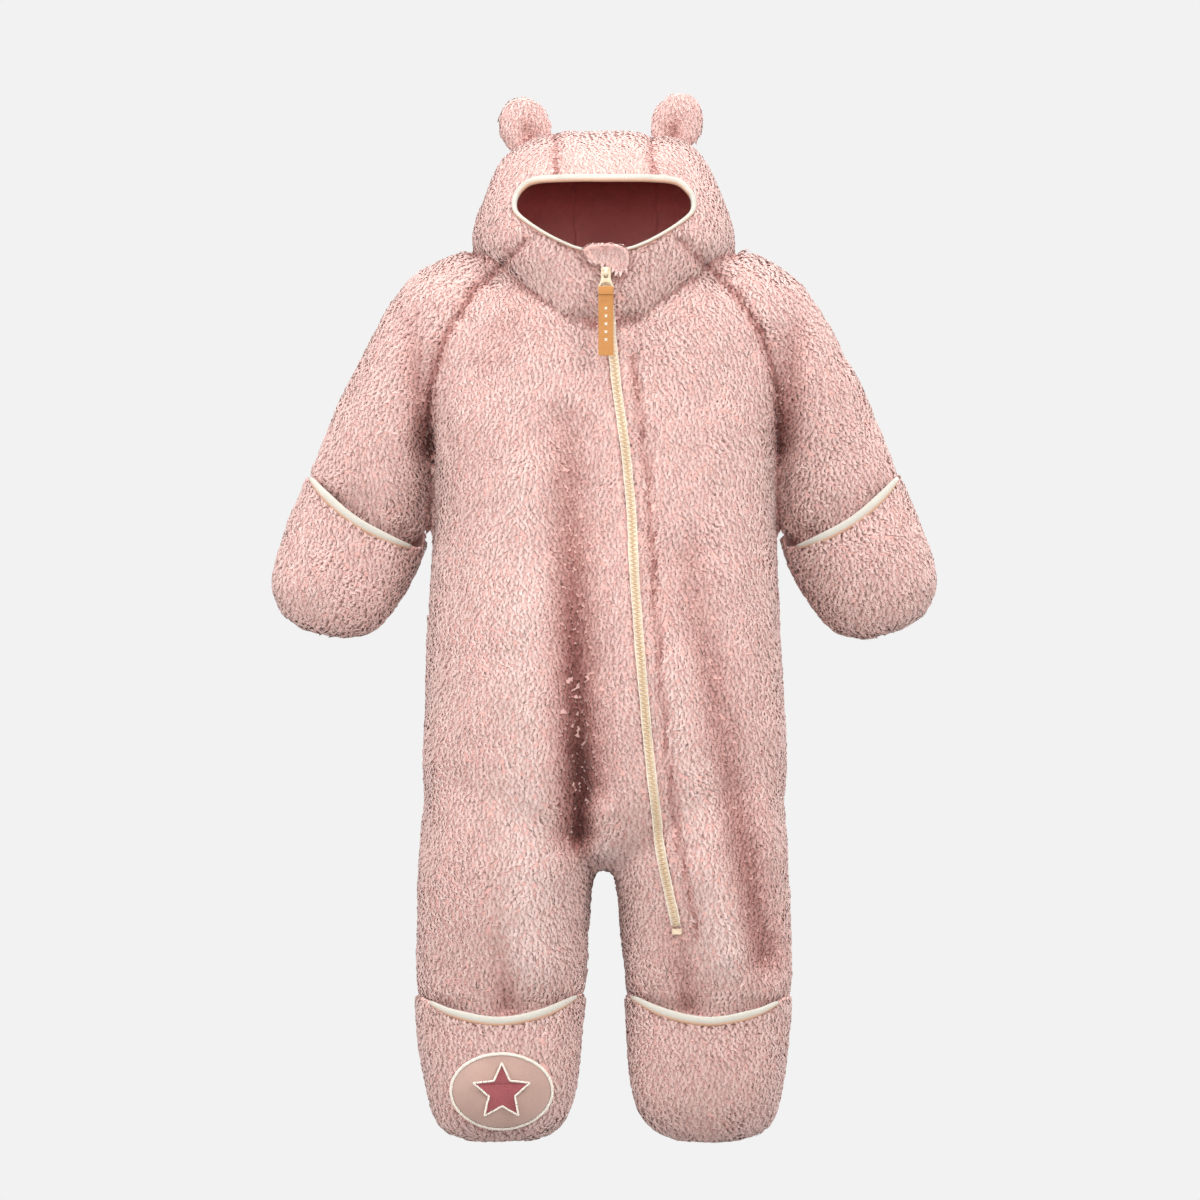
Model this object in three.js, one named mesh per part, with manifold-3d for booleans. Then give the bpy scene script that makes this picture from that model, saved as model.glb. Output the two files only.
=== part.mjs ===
// A baby's hooded teddy-fleece onesie: bear ears, raglan sleeves, fold-over mitts and feet, and a
// slanted front zip with a hanging pull. It keeps the filled-out form that a wearer gives it.
// Millimetres, +Z up, front towards -Y, +X to the viewer's right. Right and left are the wearer's,
// so the right side is at -X. The origin lies between the shoulders, where the wearer carries it.
import * as THREE from "three";
import { mergeVertices } from "three/addons/utils/BufferGeometryUtils.js";
import Module from "manifold-3d";

const wasm = await Module();
wasm.setup();

// Driving dimensions
const FLEECE = 6; // backing and pile, from the inner face to the tips
const SEAM = 0.3; // gap at every seam
const LINING = 1.2; // woven hood lining
const BINDING = 4.6; // width that a bound edge shows
const ZIP_WIDTH = 7.2; // teeth and tape between the two fronts
const ZIP_DEPTH = 2; // how far the teeth lie below the pile tips
const ZIP_THICKNESS = 2.4;
const GUARD = 3; // thickness of the flap over the zip's top
const GUARD_LIFT = 0.6; // how far the flap lies off the hood
const RIM_RISE = 0.3; // how far the face binding stands above the pile tips
const FLAP_SINK = 0.5; // how far a flap's binding lies below them
const PATCH = 1.4; // thickness of the applique, and again of its motif
const EAR = { width: 37, height: 46, depth: 17, rounding: 0.42 };
const SLIDER = { width: 6.6, length: 8, rise: 3.4, back: -74.9, z: -8.6 };
const BRIDGE = { inner: 1.8, outer: 3, width: 1.8 };
const EYE = { clear: 0.4, top: 1.35, bottom: 3.4 };
const PULL = { x: 1.3, top: 6, wide: 11, length: 12.2, above: 0.9, thickness: 1.6, clearance: 1.5,
  corner: 3, slotUp: 3.6, slotWide: 7.6, slotHigh: 4.2 };
const LOOP = { width: 10.2, length: 47, layer: 1.1, inSlot: 1, slotHalf: 2, belowSlot: 0.4, overTab: 2.4 };
const FAR = 400; // past every face of the garment
const JOIN = 0.01; // overlap of two cutters that make one

const MATERIALS = {
  fleece: { color: 0xd8aaa4, roughness: 0.95 },
  binding: { color: 0xf3e6d6, roughness: 0.7 },
  lining: { color: 0x8c4a4d, roughness: 0.8 },
  zip: { color: 0xe9d3b0, roughness: 0.6 },
  metal: { color: 0xf2ead9, roughness: 0.4 },
  tape: { color: 0xd8913f, roughness: 0.75 },
  patch: { color: 0xa88a80, roughness: 0.85 },
  motif: { color: 0x9b4a52, roughness: 0.85 },
};

// Sections of each tube at the pile tips, from the top down. Torso and hood stand on x = 0.
const TORSO = [
  { z: 8, half: 64, front: 50, back: 54 },
  { z: -12, half: 84, front: 59, back: 60 },
  { z: -35, half: 100, front: 65, back: 65 },
  { z: -65, half: 112, front: 69, back: 68 },
  { z: -100, half: 116.5, front: 72, back: 70 },
  { z: -150, half: 117, front: 75, back: 71 },
  { z: -220, half: 119, front: 78, back: 73 },
  { z: -290, half: 122.5, front: 79, back: 79 },
  { z: -345, half: 125, front: 74, back: 84 },
  { z: -382, half: 118, front: 62, back: 75 },
  { z: -402, half: 88, front: 46, back: 56 },
  { z: -413, half: 46, front: 28, back: 34 },
];
const HOOD = [
  { z: 90, half: 21, front: 13, back: 22 },
  { z: 86, half: 42, front: 28, back: 46 },
  { z: 80, half: 57, front: 43, back: 64 },
  { z: 71, half: 68, front: 57, back: 77 },
  { z: 58, half: 76, front: 68, back: 86 },
  { z: 42, half: 83, front: 75, back: 91 },
  { z: 26, half: 88.5, front: 78, back: 91 },
  { z: 12, half: 90, front: 78, back: 86 },
  { z: 0, half: 82, front: 77, back: 76 },
  { z: -20, half: 68, front: 75, back: 58 },
  { z: -42, half: 57, front: 70, back: 46 },
  { z: -60, half: 50, front: 62, back: 40 },
];
// One leg and one foot pouch at +X. The last two leg rows are the hem tucked into the pouch.
const LEG = [
  { z: -318, inner: 8, outer: 112, front: 58, back: 62 },
  { z: -362, inner: 3, outer: 122.5, front: 62, back: 68 },
  { z: -402, inner: 2, outer: 126.5, front: 61, back: 66 },
  { z: -428, inner: 8.5, outer: 127.5, front: 57, back: 61 },
  { z: -464, inner: 11.5, outer: 127.5, front: 50, back: 53 },
  { z: -484, inner: 12.6, outer: 127.5, front: 45, back: 48 },
  { z: -496, inner: 13.2, outer: 127.5, front: 41, back: 45.5 },
  { z: -504, inner: 21.5, outer: 119.4, front: 38, back: 38 },
  { z: -530, inner: 24, outer: 116.5, front: 34, back: 34 },
];
const FOOT = [
  { z: -474, inner: 11.8, outer: 127.7, front: 49, back: 50 },
  { z: -500, inner: 13.4, outer: 127.6, front: 48, back: 44.5 },
  { z: -536, inner: 15.9, outer: 125.7, front: 45, back: 40 },
  { z: -562, inner: 19, outer: 121.7, front: 40, back: 36 },
  { z: -580, inner: 25, outer: 117, front: 32, back: 29 },
  { z: -591, inner: 35.5, outer: 107.8, front: 22, back: 20 },
  { z: -597, inner: 49, outer: 93, front: 12, back: 12 },
];
// One sleeve and one mitt at +X, by the ends of each slanting section. The last two sleeve rows
// are the cuff tucked into the mitt.
const SLEEVE = [
  { outerX: 60, outerZ: 0, innerX: 48, innerZ: -96, y: 0, front: 47, back: 49 },
  { outerX: 92, outerZ: 8, innerX: 84, innerZ: -112, y: 2, front: 46, back: 46 },
  { outerX: 124, outerZ: -5, innerX: 106, innerZ: -124, y: 6, front: 42, back: 40 },
  { outerX: 147, outerZ: -32, innerX: 117, innerZ: -131, y: 10, front: 38, back: 36 },
  { outerX: 166, outerZ: -66, innerX: 118.6, innerZ: -141, y: 13, front: 36, back: 34 },
  { outerX: 182, outerZ: -100, innerX: 118.8, innerZ: -155, y: 15, front: 34, back: 33 },
  { outerX: 195, outerZ: -129, innerX: 118.9, innerZ: -171, y: 15, front: 31, back: 33 },
  { outerX: 201.5, outerZ: -145, innerX: 119.6, innerZ: -184, y: 15, front: 27, back: 32.5 },
  { outerX: 196.5, outerZ: -155, innerX: 128.4, innerZ: -188, y: 15, front: 25, back: 25 },
  { outerX: 203, outerZ: -178, innerX: 136.5, innerZ: -206, y: 15, front: 22, back: 23 },
];
const MITT = [
  { outerX: 197, outerZ: -134, innerX: 119, innerZ: -174, y: 15, front: 34, back: 34 },
  { outerX: 203.5, outerZ: -150, innerX: 120.2, innerZ: -189, y: 15, front: 34, back: 32.5 },
  { outerX: 214, outerZ: -175, innerX: 126, innerZ: -207, y: 15, front: 33.5, back: 31 },
  { outerX: 223, outerZ: -200, innerX: 136, innerZ: -225, y: 15, front: 31, back: 29 },
  { outerX: 226.5, outerZ: -218, innerX: 145.5, innerZ: -239, y: 14, front: 27, back: 25 },
  { outerX: 220, outerZ: -236, innerX: 157, innerZ: -250.5, y: 13, front: 20, back: 19 },
  { outerX: 206, outerZ: -249, innerX: 173, innerZ: -256.5, y: 12, front: 12, back: 12 },
];
// The largest folds, as lines seen from the front, on the front (-1) or back (1) face. A positive
// depth is a valley and a negative one a ridge, given at each end of its line.
const FOLDS = [
  { face: -1, x1: -26, z1: -110, depth1: 4, x2: -15, z2: -385, depth2: 21, width: 17 },
  { face: -1, x1: -54, z1: -150, depth1: -2, x2: -50, z2: -470, depth2: -5, width: 19 },
  { face: -1, x1: 56, z1: -200, depth1: 4, x2: 106, z2: -470, depth2: 11, width: 14 },
  { face: -1, x1: 48, z1: -270, depth1: -2, x2: 86, z2: -470, depth2: -5, width: 15 },
  { face: -1, x1: -4, z1: -374, depth1: -8, x2: -3, z2: -394, depth2: -9, width: 11 },
  { face: -1, x1: 50, z1: -456, depth1: 3, x2: 57, z2: -505, depth2: 7, width: 9 },
  { face: -1, x1: -72, z1: -450, depth1: 1, x2: -66, z2: -505, depth2: 7, width: 9 },
  { face: -1, x1: 128, z1: -42, depth1: 3, x2: 121, z2: -125, depth2: 12, width: 9 },
  { face: -1, x1: -128, z1: -42, depth1: 3, x2: -121, z2: -125, depth2: 12, width: 9 },
  { face: -1, x1: -50, z1: -22, depth1: 2, x2: -78, z2: -70, depth2: 3, width: 12 },
  { face: 1, x1: -42, z1: -120, depth1: 3, x2: -22, z2: -380, depth2: 13, width: 20 },
  { face: 1, x1: 46, z1: -150, depth1: 3, x2: 20, z2: -380, depth2: 12, width: 20 },
  { face: 1, x1: 92, z1: -260, depth1: 2, x2: 98, z2: -470, depth2: 8, width: 15 },
  { face: 1, x1: -90, z1: -280, depth1: 2, x2: -100, z2: -470, depth2: 8, width: 15 },
];
// Seams, as points seen from the front.
const ZIP_LINE = [
  { x: 1.5, z: 30 },
  { x: 1.5, z: -9 },
  { x: 6.5, z: -67 },
  { x: 17.5, z: -157 },
  { x: 21, z: -220 },
  { x: 28, z: -310 },
  { x: 37, z: -388 },
  { x: 49.6, z: -451 },
  { x: 58, z: -505 },
  { x: 60, z: -560 },
];
const ZIP_TOP = -4;
const ZIP_END = -455;
const RAGLAN = [
  { x: 48, z: 20 },
  { x: 70, z: -3 },
  { x: 89, z: -22 },
  { x: 103, z: -44 },
  { x: 112, z: -66 },
  { x: 116, z: -90 },
  { x: 117.6, z: -112 },
  { x: 117.9, z: -150 },
  { x: 118.8, z: -182 },
  { x: 124, z: -206 },
  { x: 138, z: -238 },
  { x: 150, z: -290 },
];
// The neck seam, as points seen from the side: level at the back and dipping to the zip.
const NECK = [
  { y: 200, z: 5 },
  { y: 0, z: 5 },
  { y: -28, z: 2 },
  { y: -52, z: -18 },
  { y: -66, z: -38 },
  { y: -76, z: -43 },
  { y: -200, z: -46 },
];
const SHOULDER_X = 86; // where the hood ends over the shoulders
const SHOULDER_Z = 10; // and how high the shoulders rise outside it
const FACE = [
  { x: 0, z: 57.8 },
  { x: 30, z: 57.8 },
  { x: 49, z: 55.8 },
  { x: 58.2, z: 48.8 },
  { x: 61.8, z: 40.5 },
  { x: 60.4, z: 31.8 },
  { x: 52.5, z: 25 },
  { x: 37.5, z: 15.6 },
  { x: 20, z: 7.8 },
  { x: 0, z: 4.2 },
];
const FOOT_EDGE = [
  { x: 5, z: -494 },
  { x: 17, z: -498 },
  { x: 42, z: -510 },
  { x: 72, z: -515.5 },
  { x: 102, z: -510 },
  { x: 121, z: -501 },
  { x: 135, z: -497 },
];
const FOOT_SEAM = -500; // where the back of a leg meets the back of its pouch
const MITT_EDGE = [
  { x: 112, z: -191 },
  { x: 126, z: -194.5 },
  { x: 147, z: -188 },
  { x: 170, z: -175.5 },
  { x: 188, z: -160 },
  { x: 200, z: -146 },
  { x: 207, z: -138 },
  { x: 240, z: -108 },
];
const LEG_HEM = -521; // where the front of a leg ends inside its pouch
const MITT_MIDDLE = 15; // depth of the mitts' side seams
const CUFF = [
  { x: 30, z: -242.2 },
  { x: 240, z: -153.8 },
];
const MITT_SEAM = [
  { x: 30, z: -229.2 },
  { x: 240, z: -130.2 },
];
const HOOD_SEAM = 32; // half the hood's centre panel
const BROW = 40; // height up to which the sides alone make the hood's front
const RIM = 5; // width of the face opening's binding
const FACE_LOW = 9; // height below which the chin guard covers that binding
const LINING_SEAMS = { right: -20, left: 36 };
const LINING_LOW = -30; // where the lining ends, inside the neck
const EAR_PLACE = { right: { x: -53.5, y: 8, z: 91 }, left: { x: 49.5, y: 8, z: 94 } };
const EAR_TILT = 0.3; // outwards, in radians
const GUARD_OUTLINE = [
  { x: -13.5, z: 6.5 },
  { x: -8, z: 11 },
  { x: 7, z: 11.5 },
  { x: 15.5, z: 6.5 },
  { x: 15.5, z: -3.5 },
  { x: 11, z: -9 },
  { x: 6.5, z: -5 },
  { x: 1, z: -2.8 },
  { x: -7, z: -1.5 },
];
const PATCH_PLACE = { x: -69.5, z: -562 };
const PATCH_SIZE = { width: 66, height: 50 };
const STAR = { points: 5, outer: 19, inner: 9 };
const SIDE_AXES = [new THREE.Vector3(0, 1, 0), new THREE.Vector3(0, 0, 1), new THREE.Vector3(1, 0, 0)];

// A section's centre, half width and the direction that its width runs in.
function frameOf(row, side) {
  if ("half" in row) {
    return { centre: new THREE.Vector3(0, 0, row.z), across: new THREE.Vector3(1, 0, 0), half: row.half };
  }
  const outer = new THREE.Vector3(row.outerX ?? row.outer, row.y ?? 0, row.outerZ ?? row.z);
  const inner = new THREE.Vector3(row.innerX ?? row.inner, row.y ?? 0, row.innerZ ?? row.z);
  const across = outer.clone().sub(inner);
  const half = across.length() / 2;
  const centre = outer.add(inner).multiplyScalar(0.5);
  across.normalize();
  centre.x *= side;
  across.x *= side;
  return { centre, across, half };
}

// How far the folds move a point of one face inwards.
function foldDepth(x, z, face) {
  let depth = 0;
  for (const f of FOLDS) {
    if (f.face !== face) continue;
    const run = new THREE.Vector2(f.x2 - f.x1, f.z2 - f.z1);
    const from = new THREE.Vector2(x - f.x1, z - f.z1);
    const t = THREE.MathUtils.clamp(from.dot(run) / run.lengthSq(), 0, 1);
    const away = from.distanceTo(run.clone().multiplyScalar(t)) / f.width;
    depth += THREE.MathUtils.lerp(f.depth1, f.depth2, t) * Math.exp(-away * away);
  }
  return depth;
}

// A closed tube through a table's sections, its skin moved out by `offset` along its normals.
function tube(table, shape, side, offset) {
  const { sides, square, folded } = shape;
  const points = [];
  for (const row of table) {
    const { centre, across, half } = frameOf(row, side);
    for (let s = 0; s < sides; s++) {
      const cos = Math.cos((2 * Math.PI * s) / sides);
      const sin = Math.sin((2 * Math.PI * s) / sides);
      const depth = sin < 0 ? row.front : row.back;
      const reach = ((Math.abs(cos) / half) ** square + (Math.abs(sin) / depth) ** square) ** (-1 / square);
      const p = centre.clone().addScaledVector(across, reach * cos);
      p.y += reach * sin;
      const face = Math.sign(sin);
      if (folded) p.y -= ((reach * sin) / depth) * foldDepth(p.x, p.z, face);
      points.push(p);
    }
  }
  const last = table.length - 1;
  points.push(frameOf(table[0], side).centre, frameOf(table[last], side).centre);
  const index = [];
  const at = (r, s) => r * sides + (s % sides);
  for (let s = 0; s < sides; s++) {
    index.push(points.length - 2, at(0, s), at(0, s + 1));
    index.push(points.length - 1, at(last, s + 1), at(last, s));
    for (let r = 0; r < last; r++) {
      index.push(at(r, s), at(r + 1, s), at(r + 1, s + 1));
      index.push(at(r, s), at(r + 1, s + 1), at(r, s + 1));
    }
  }
  if (side < 0) index.reverse();
  const geometry = new THREE.BufferGeometry().setFromPoints(points).setIndex(index);
  geometry.computeVertexNormals();
  const normal = geometry.attributes.normal;
  const outwards = new THREE.Vector3();
  const moved = points.map((p, i) => p.addScaledVector(outwards.fromBufferAttribute(normal, i), offset));
  return solid(new THREE.BufferGeometry().setFromPoints(moved).setIndex(index));
}

function solid(geometry) {
  const bare = geometry.clone();
  bare.deleteAttribute("normal");
  bare.deleteAttribute("uv");
  const merged = mergeVertices(bare, 1e-3);
  return new wasm.Manifold(
    new wasm.Mesh({
      numProp: 3,
      vertProperties: merged.attributes.position.array,
      triVerts: new Uint32Array(merged.index.array),
    }),
  );
}

const TORSO_SHAPE = { sides: 36, square: 2.5, folded: true };
const LEG_SHAPE = { sides: 22, square: 2.4, folded: true };
const FOOT_SHAPE = { sides: 20, square: 2.4, folded: false };
const SLEEVE_SHAPE = { sides: 16, square: 2.3, folded: true };
const MITT_SHAPE = { sides: 16, square: 2.3, folded: false };
const HOOD_SHAPE = { sides: 26, square: 2.25, folded: false };
const LINING_SHAPE = { sides: 13, square: 2.25, folded: false };
const BOTH_SIDES = { right: -1, left: 1 };

const hoodSkin = (offset) => tube(HOOD, HOOD_SHAPE, 1, offset);
const footSkin = (offset, side) => tube(FOOT, FOOT_SHAPE, side, offset);
const mittSkin = (offset, side) => tube(MITT, MITT_SHAPE, side, offset);

// The whole garment but for its pouches, as a filled form at one depth in the cloth.
const skins = new Map();
function bodySkin(offset) {
  if (!skins.has(offset)) {
    let skin = tube(TORSO, TORSO_SHAPE, 1, offset).add(hoodSkin(offset));
    for (const side of Object.values(BOTH_SIDES)) {
      skin = skin.add(tube(LEG, LEG_SHAPE, side, offset)).add(tube(SLEEVE, SLEEVE_SHAPE, side, offset));
    }
    skins.set(offset, skin);
  }
  return skins.get(offset);
}

const wall = (skin, outer, inner) => skin(outer).subtract(skin(inner));

// A shape of straight edges only, with no point at both ends of an outline.
function plain(shape, curveSegments) {
  const open = (path) => {
    const points = path.getPoints(curveSegments);
    return points[0].distanceTo(points[points.length - 1]) < 1e-3 ? points.slice(0, -1) : points;
  };
  const straight = new THREE.Shape(open(shape));
  straight.holes = shape.holes.map((hole) => new THREE.Path(open(hole)));
  return straight;
}

// A prism along Y from an outline seen from the front, between two depths.
function seenFromFront(points, yFrom = -FAR, yTo = FAR, curveSegments = 12) {
  const shape = points instanceof THREE.Shape ? plain(points, curveSegments)
    : new THREE.Shape(points.map((p) => new THREE.Vector2(p.x, p.z)));
  const geometry = new THREE.ExtrudeGeometry(shape, { depth: yTo - yFrom, bevelEnabled: false });
  return solid(geometry.rotateX(Math.PI / 2).translate(0, yTo, 0));
}

// A prism along X from an outline seen from the side.
function seenFromSide(points) {
  const shape = new THREE.Shape(points.map((p) => new THREE.Vector2(p.y, p.z)));
  const geometry = new THREE.ExtrudeGeometry(shape, { depth: 2 * FAR, bevelEnabled: false });
  return solid(geometry.applyMatrix4(new THREE.Matrix4().makeBasis(...SIDE_AXES)).translate(-FAR, 0, 0));
}

function block(x1, x2, y1, y2, z1, z2) {
  const box = new THREE.BoxGeometry(x2 - x1, y2 - y1, z2 - z1);
  return solid(box.translate((x1 + x2) / 2, (y1 + y2) / 2, (z1 + z2) / 2));
}

// The points of a smooth line through a short table, and the same line moved sideways.
function smoothLine(table, steps, side = 1) {
  const marks = table.map((p) => new THREE.Vector2((p.x ?? p.y) * side, p.z));
  const points = new THREE.SplineCurve(marks).getPoints(steps);
  return side < 0 ? points.reverse() : points;
}

function movedLine(points, by) {
  return points.map((p, i) => {
    const before = points[Math.max(i - 1, 0)];
    const after = points[Math.min(i + 1, points.length - 1)];
    const run = after.clone().sub(before).normalize();
    return new THREE.Vector2(p.x - run.y * by, p.y + run.x * by);
  });
}

const asFront = (points) => points.map((p) => ({ x: p.x, z: p.y }));
const asSide = (points) => points.map((p) => ({ y: p.x, z: p.y }));

// The strip between two lines moved to either side of a seam.
function strip(points, from, to) {
  return [...movedLine(points, from), ...movedLine(points, to).reverse()];
}

// Everything on one side of a line that runs down the garment, or round it.
function besideLine(points, moved, far) {
  const line = movedLine(points, moved);
  const first = line[0];
  const last = line[line.length - 1];
  return [...line, new THREE.Vector2(last.x, -2 * FAR), new THREE.Vector2(far, -2 * FAR),
    new THREE.Vector2(far, FAR), new THREE.Vector2(first.x, FAR)];
}

function acrossLine(points, moved, far) {
  const line = movedLine(points, moved);
  return [...line, new THREE.Vector2(line[line.length - 1].x, far), new THREE.Vector2(line[0].x, far)];
}

function largest(shape) {
  const parts = shape.decompose();
  return parts.reduce((a, b) => (b.volume() > a.volume() ? b : a));
}

const group = new THREE.Group();
function meshOf(name, material, geometry) {
  const mesh = new THREE.Mesh(geometry, new THREE.MeshStandardMaterial(MATERIALS[material]));
  mesh.name = name;
  group.add(mesh);
  return mesh;
}
function addPiece(name, material, shape) {
  const cut = largest(shape).getMesh();
  const geometry = new THREE.BufferGeometry();
  geometry.setAttribute("position", new THREE.BufferAttribute(cut.vertProperties, 3));
  geometry.setIndex(new THREE.BufferAttribute(cut.triVerts, 1));
  return meshOf(name, material, geometry);
}

// Cutters that the panels share. A line that runs down moves to the viewer's right by a positive
// amount, and one that runs to the viewer's right moves up.
const half = SEAM / 2;
const zipLine = smoothLine(ZIP_LINE, 18);
const zipHalf = ZIP_WIDTH / 2 + SEAM;
const rightOfZip = seenFromFront(asFront(besideLine(zipLine, -half, -FAR)), -FAR, 0);
const leftOfZip = seenFromFront(asFront(besideLine(zipLine, half, FAR)), -FAR, 0);
const zipChannel = seenFromFront(asFront(strip(zipLine, -zipHalf, zipHalf)), -FAR, 0)
  .intersect(block(-FAR, FAR, -FAR, 0, ZIP_END, FAR));
const neckLine = smoothLine([...NECK].reverse(), 12);
const shoulders = (grown) => block(-FAR, -SHOULDER_X - grown, -FAR, FAR, -FAR, SHOULDER_Z - grown)
  .add(block(SHOULDER_X + grown, FAR, -FAR, FAR, -FAR, SHOULDER_Z - grown));
const hoodRegion = seenFromSide(asSide(acrossLine(neckLine, half, FAR))).subtract(shoulders(-half));
const belowNeck = seenFromSide(asSide(acrossLine(neckLine, -half, -2 * FAR))).add(shoulders(half));
const inFront = block(-FAR, FAR, -FAR, -half, -2 * FAR, FAR);
const behind = block(-FAR, FAR, half, FAR, -2 * FAR, FAR);
const facePoints = [...FACE, ...FACE.slice(1, -1).reverse().map((p) => ({ x: -p.x, z: p.z }))];
const faceCurve = new THREE.SplineCurve(
  [...facePoints, facePoints[0]].map((p) => new THREE.Vector2(p.x, p.z)),
).getPoints(30).slice(0, -1);
const faceHole = seenFromFront(asFront(faceCurve), -FAR, 0);

// Shell of everything but the pouches
const shell = wall(bodySkin, 0, -FLEECE);

// A raglan sleeve's region, and the region of all that it leaves
const raglan = {};
const trunk = { region: belowNeck };
for (const [name, side] of Object.entries(BOTH_SIDES)) {
  const line = smoothLine(RAGLAN, 12, side);
  const down = side > 0 ? line : [...line].reverse();
  raglan[name] = seenFromFront(asFront(besideLine(down, side * half, side * FAR)));
  trunk.region = trunk.region.subtract(seenFromFront(asFront(besideLine(down, -side * half, side * FAR))));
}

const bodice = shell.intersect(trunk.region);
const legEnds = block(-FAR, FAR, -FAR, 0, LEG_HEM, FAR).add(block(-FAR, FAR, 0, FAR, FOOT_SEAM + half, FAR));
const footInside = (side) => wall((offset) => footSkin(offset, side), SEAM, -FLEECE - SEAM);

// Foot pouches: each a bound front over the leg's hem, and a back that goes on from the leg's back
const feet = {};
for (const [name, side] of Object.entries(BOTH_SIDES)) {
  const edge = smoothLine(FOOT_EDGE, 10, side);
  const skin = (offset) => footSkin(offset, side);
  const walls = wall(skin, 0, -FLEECE).intersect(inFront);
  const below = (moved) => seenFromFront(asFront(acrossLine(edge, moved, -2 * FAR)));
  feet[name] = footInside(side).intersect(block(-FAR, FAR, -FAR, half, -2 * FAR, FAR)).intersect(below(SEAM));
  addPiece(`foot_front_${name}`, "fleece", walls.intersect(below(-BINDING - SEAM)));
  const band = seenFromFront(asFront(strip(edge, 0, -BINDING)));
  addPiece(`foot_binding_${name}`, "binding",
    wall(skin, -FLAP_SINK, -FLEECE).intersect(inFront).intersect(band));
  addPiece(`foot_back_${name}`, "fleece",
    wall(skin, 0, -FLEECE).intersect(block(-FAR, FAR, half, FAR, -2 * FAR, FOOT_SEAM - half)));
}

const panels = bodice.intersect(legEnds).subtract(feet.right).subtract(feet.left);
const fronts = panels.intersect(inFront);
addPiece("front_right", "fleece", fronts.intersect(rightOfZip).subtract(zipChannel));
addPiece("front_left", "fleece", fronts.intersect(leftOfZip).subtract(zipChannel));
const backs = panels.intersect(behind);
addPiece("back_right", "fleece", backs.intersect(block(-FAR, -half, -FAR, FAR, -2 * FAR, FAR)));
addPiece("back_left", "fleece", backs.intersect(block(half, FAR, -FAR, FAR, -2 * FAR, FAR)));

// Sleeves and mitts
for (const [name, side] of Object.entries(BOTH_SIDES)) {
  const edge = smoothLine(MITT_EDGE, 10, side);
  const skin = (offset) => mittSkin(offset, side);
  const cutAt = (line, moved, far) => seenFromFront(asFront(acrossLine(smoothLine(line, 1, side), moved, far)));
  const below = (moved) => seenFromFront(asFront(acrossLine(edge, moved, -2 * FAR)));
  const front = block(-FAR, FAR, -FAR, MITT_MIDDLE - half, -2 * FAR, FAR);
  const back = block(-FAR, FAR, MITT_MIDDLE + half, FAR, -2 * FAR, FAR);
  const frontWall = wall(skin, 0, -FLEECE).intersect(front);
  addPiece(`mitt_front_${name}`, "fleece", frontWall.intersect(below(-BINDING - SEAM)));
  const band = seenFromFront(asFront(strip(edge, 0, -BINDING)));
  addPiece(`mitt_binding_${name}`, "binding", wall(skin, -FLAP_SINK, -FLEECE).intersect(front).intersect(band));
  addPiece(`mitt_back_${name}`, "fleece",
    wall(skin, 0, -FLEECE).intersect(back).intersect(cutAt(MITT_SEAM, -half, -2 * FAR)));
  const kept = wall(skin, SEAM, -FLEECE - SEAM)
    .intersect(block(-FAR, FAR, -FAR, MITT_MIDDLE + half, -2 * FAR, FAR)).intersect(below(SEAM));
  const frontPart = block(-FAR, FAR, -FAR, MITT_MIDDLE + JOIN, -2 * FAR, FAR).intersect(cutAt(CUFF, 0, FAR));
  const backPart = block(-FAR, FAR, MITT_MIDDLE, FAR, -2 * FAR, FAR).intersect(cutAt(MITT_SEAM, half, FAR));
  addPiece(`sleeve_${name}`, "fleece",
    shell.intersect(raglan[name]).intersect(belowNeck).intersect(frontPart.add(backPart)).subtract(kept));
}

// Hood: two sides that meet the zip under the chin, and a panel from the brow over to the nape
const hoodShell = shell.intersect(hoodRegion).subtract(faceHole).subtract(zipChannel);
const brow = block(-FAR, FAR, -FAR, 0, -FAR, BROW);
const centreStrip = (grown) => block(-HOOD_SEAM - grown, HOOD_SEAM + grown, -FAR, FAR, -FAR, FAR)
  .subtract(brow);
addPiece("hood_centre", "fleece", hoodShell.intersect(centreStrip(-half)));
const hoodSides = hoodShell.subtract(centreStrip(half));
const middle = block(-half, half, -FAR, FAR, -FAR, FAR);
addPiece("hood_right", "fleece", hoodSides.subtract(middle).intersect(block(-FAR, half, -FAR, FAR, -FAR, FAR)));
addPiece("hood_left", "fleece", hoodSides.subtract(middle).intersect(block(-half, FAR, -FAR, FAR, -FAR, FAR)));

// The bound rim of the face opening
const faceInset = (inset) => {
  const moved = faceCurve.map((p, i) => {
    const before = faceCurve[(i + faceCurve.length - 1) % faceCurve.length];
    const run = faceCurve[(i + 1) % faceCurve.length].clone().sub(before).normalize();
    return new THREE.Vector2(p.x + run.y * inset, p.y - run.x * inset);
  });
  return seenFromFront(asFront(moved), -FAR, 0);
};
addPiece("face_binding", "binding", wall(bodySkin, RIM_RISE, -FLEECE).intersect(hoodRegion)
  .intersect(faceInset(SEAM)).subtract(faceInset(RIM)).intersect(block(-FAR, FAR, -FAR, 0, FACE_LOW, FAR)));

// Lining of the hood, just inside its fleece: a middle strip between two seams, and two sides
const liningSkin = (offset) => tube(HOOD, LINING_SHAPE, 1, offset);
const liningAll = wall(liningSkin, -FLEECE - SEAM, -FLEECE - SEAM - LINING).intersect(hoodRegion)
  .subtract(faceInset(-1)).intersect(block(-FAR, FAR, -FAR, FAR, LINING_LOW, FAR));
const between = (x1, x2) => block(x1, x2, -FAR, FAR, -FAR, FAR);
addPiece("lining_right", "lining", liningAll.intersect(between(-FAR, LINING_SEAMS.right - half)));
addPiece("lining_centre", "lining",
  liningAll.intersect(between(LINING_SEAMS.right + half, LINING_SEAMS.left - half)));
addPiece("lining_left", "lining", liningAll.intersect(between(LINING_SEAMS.left + half, FAR)));

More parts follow.
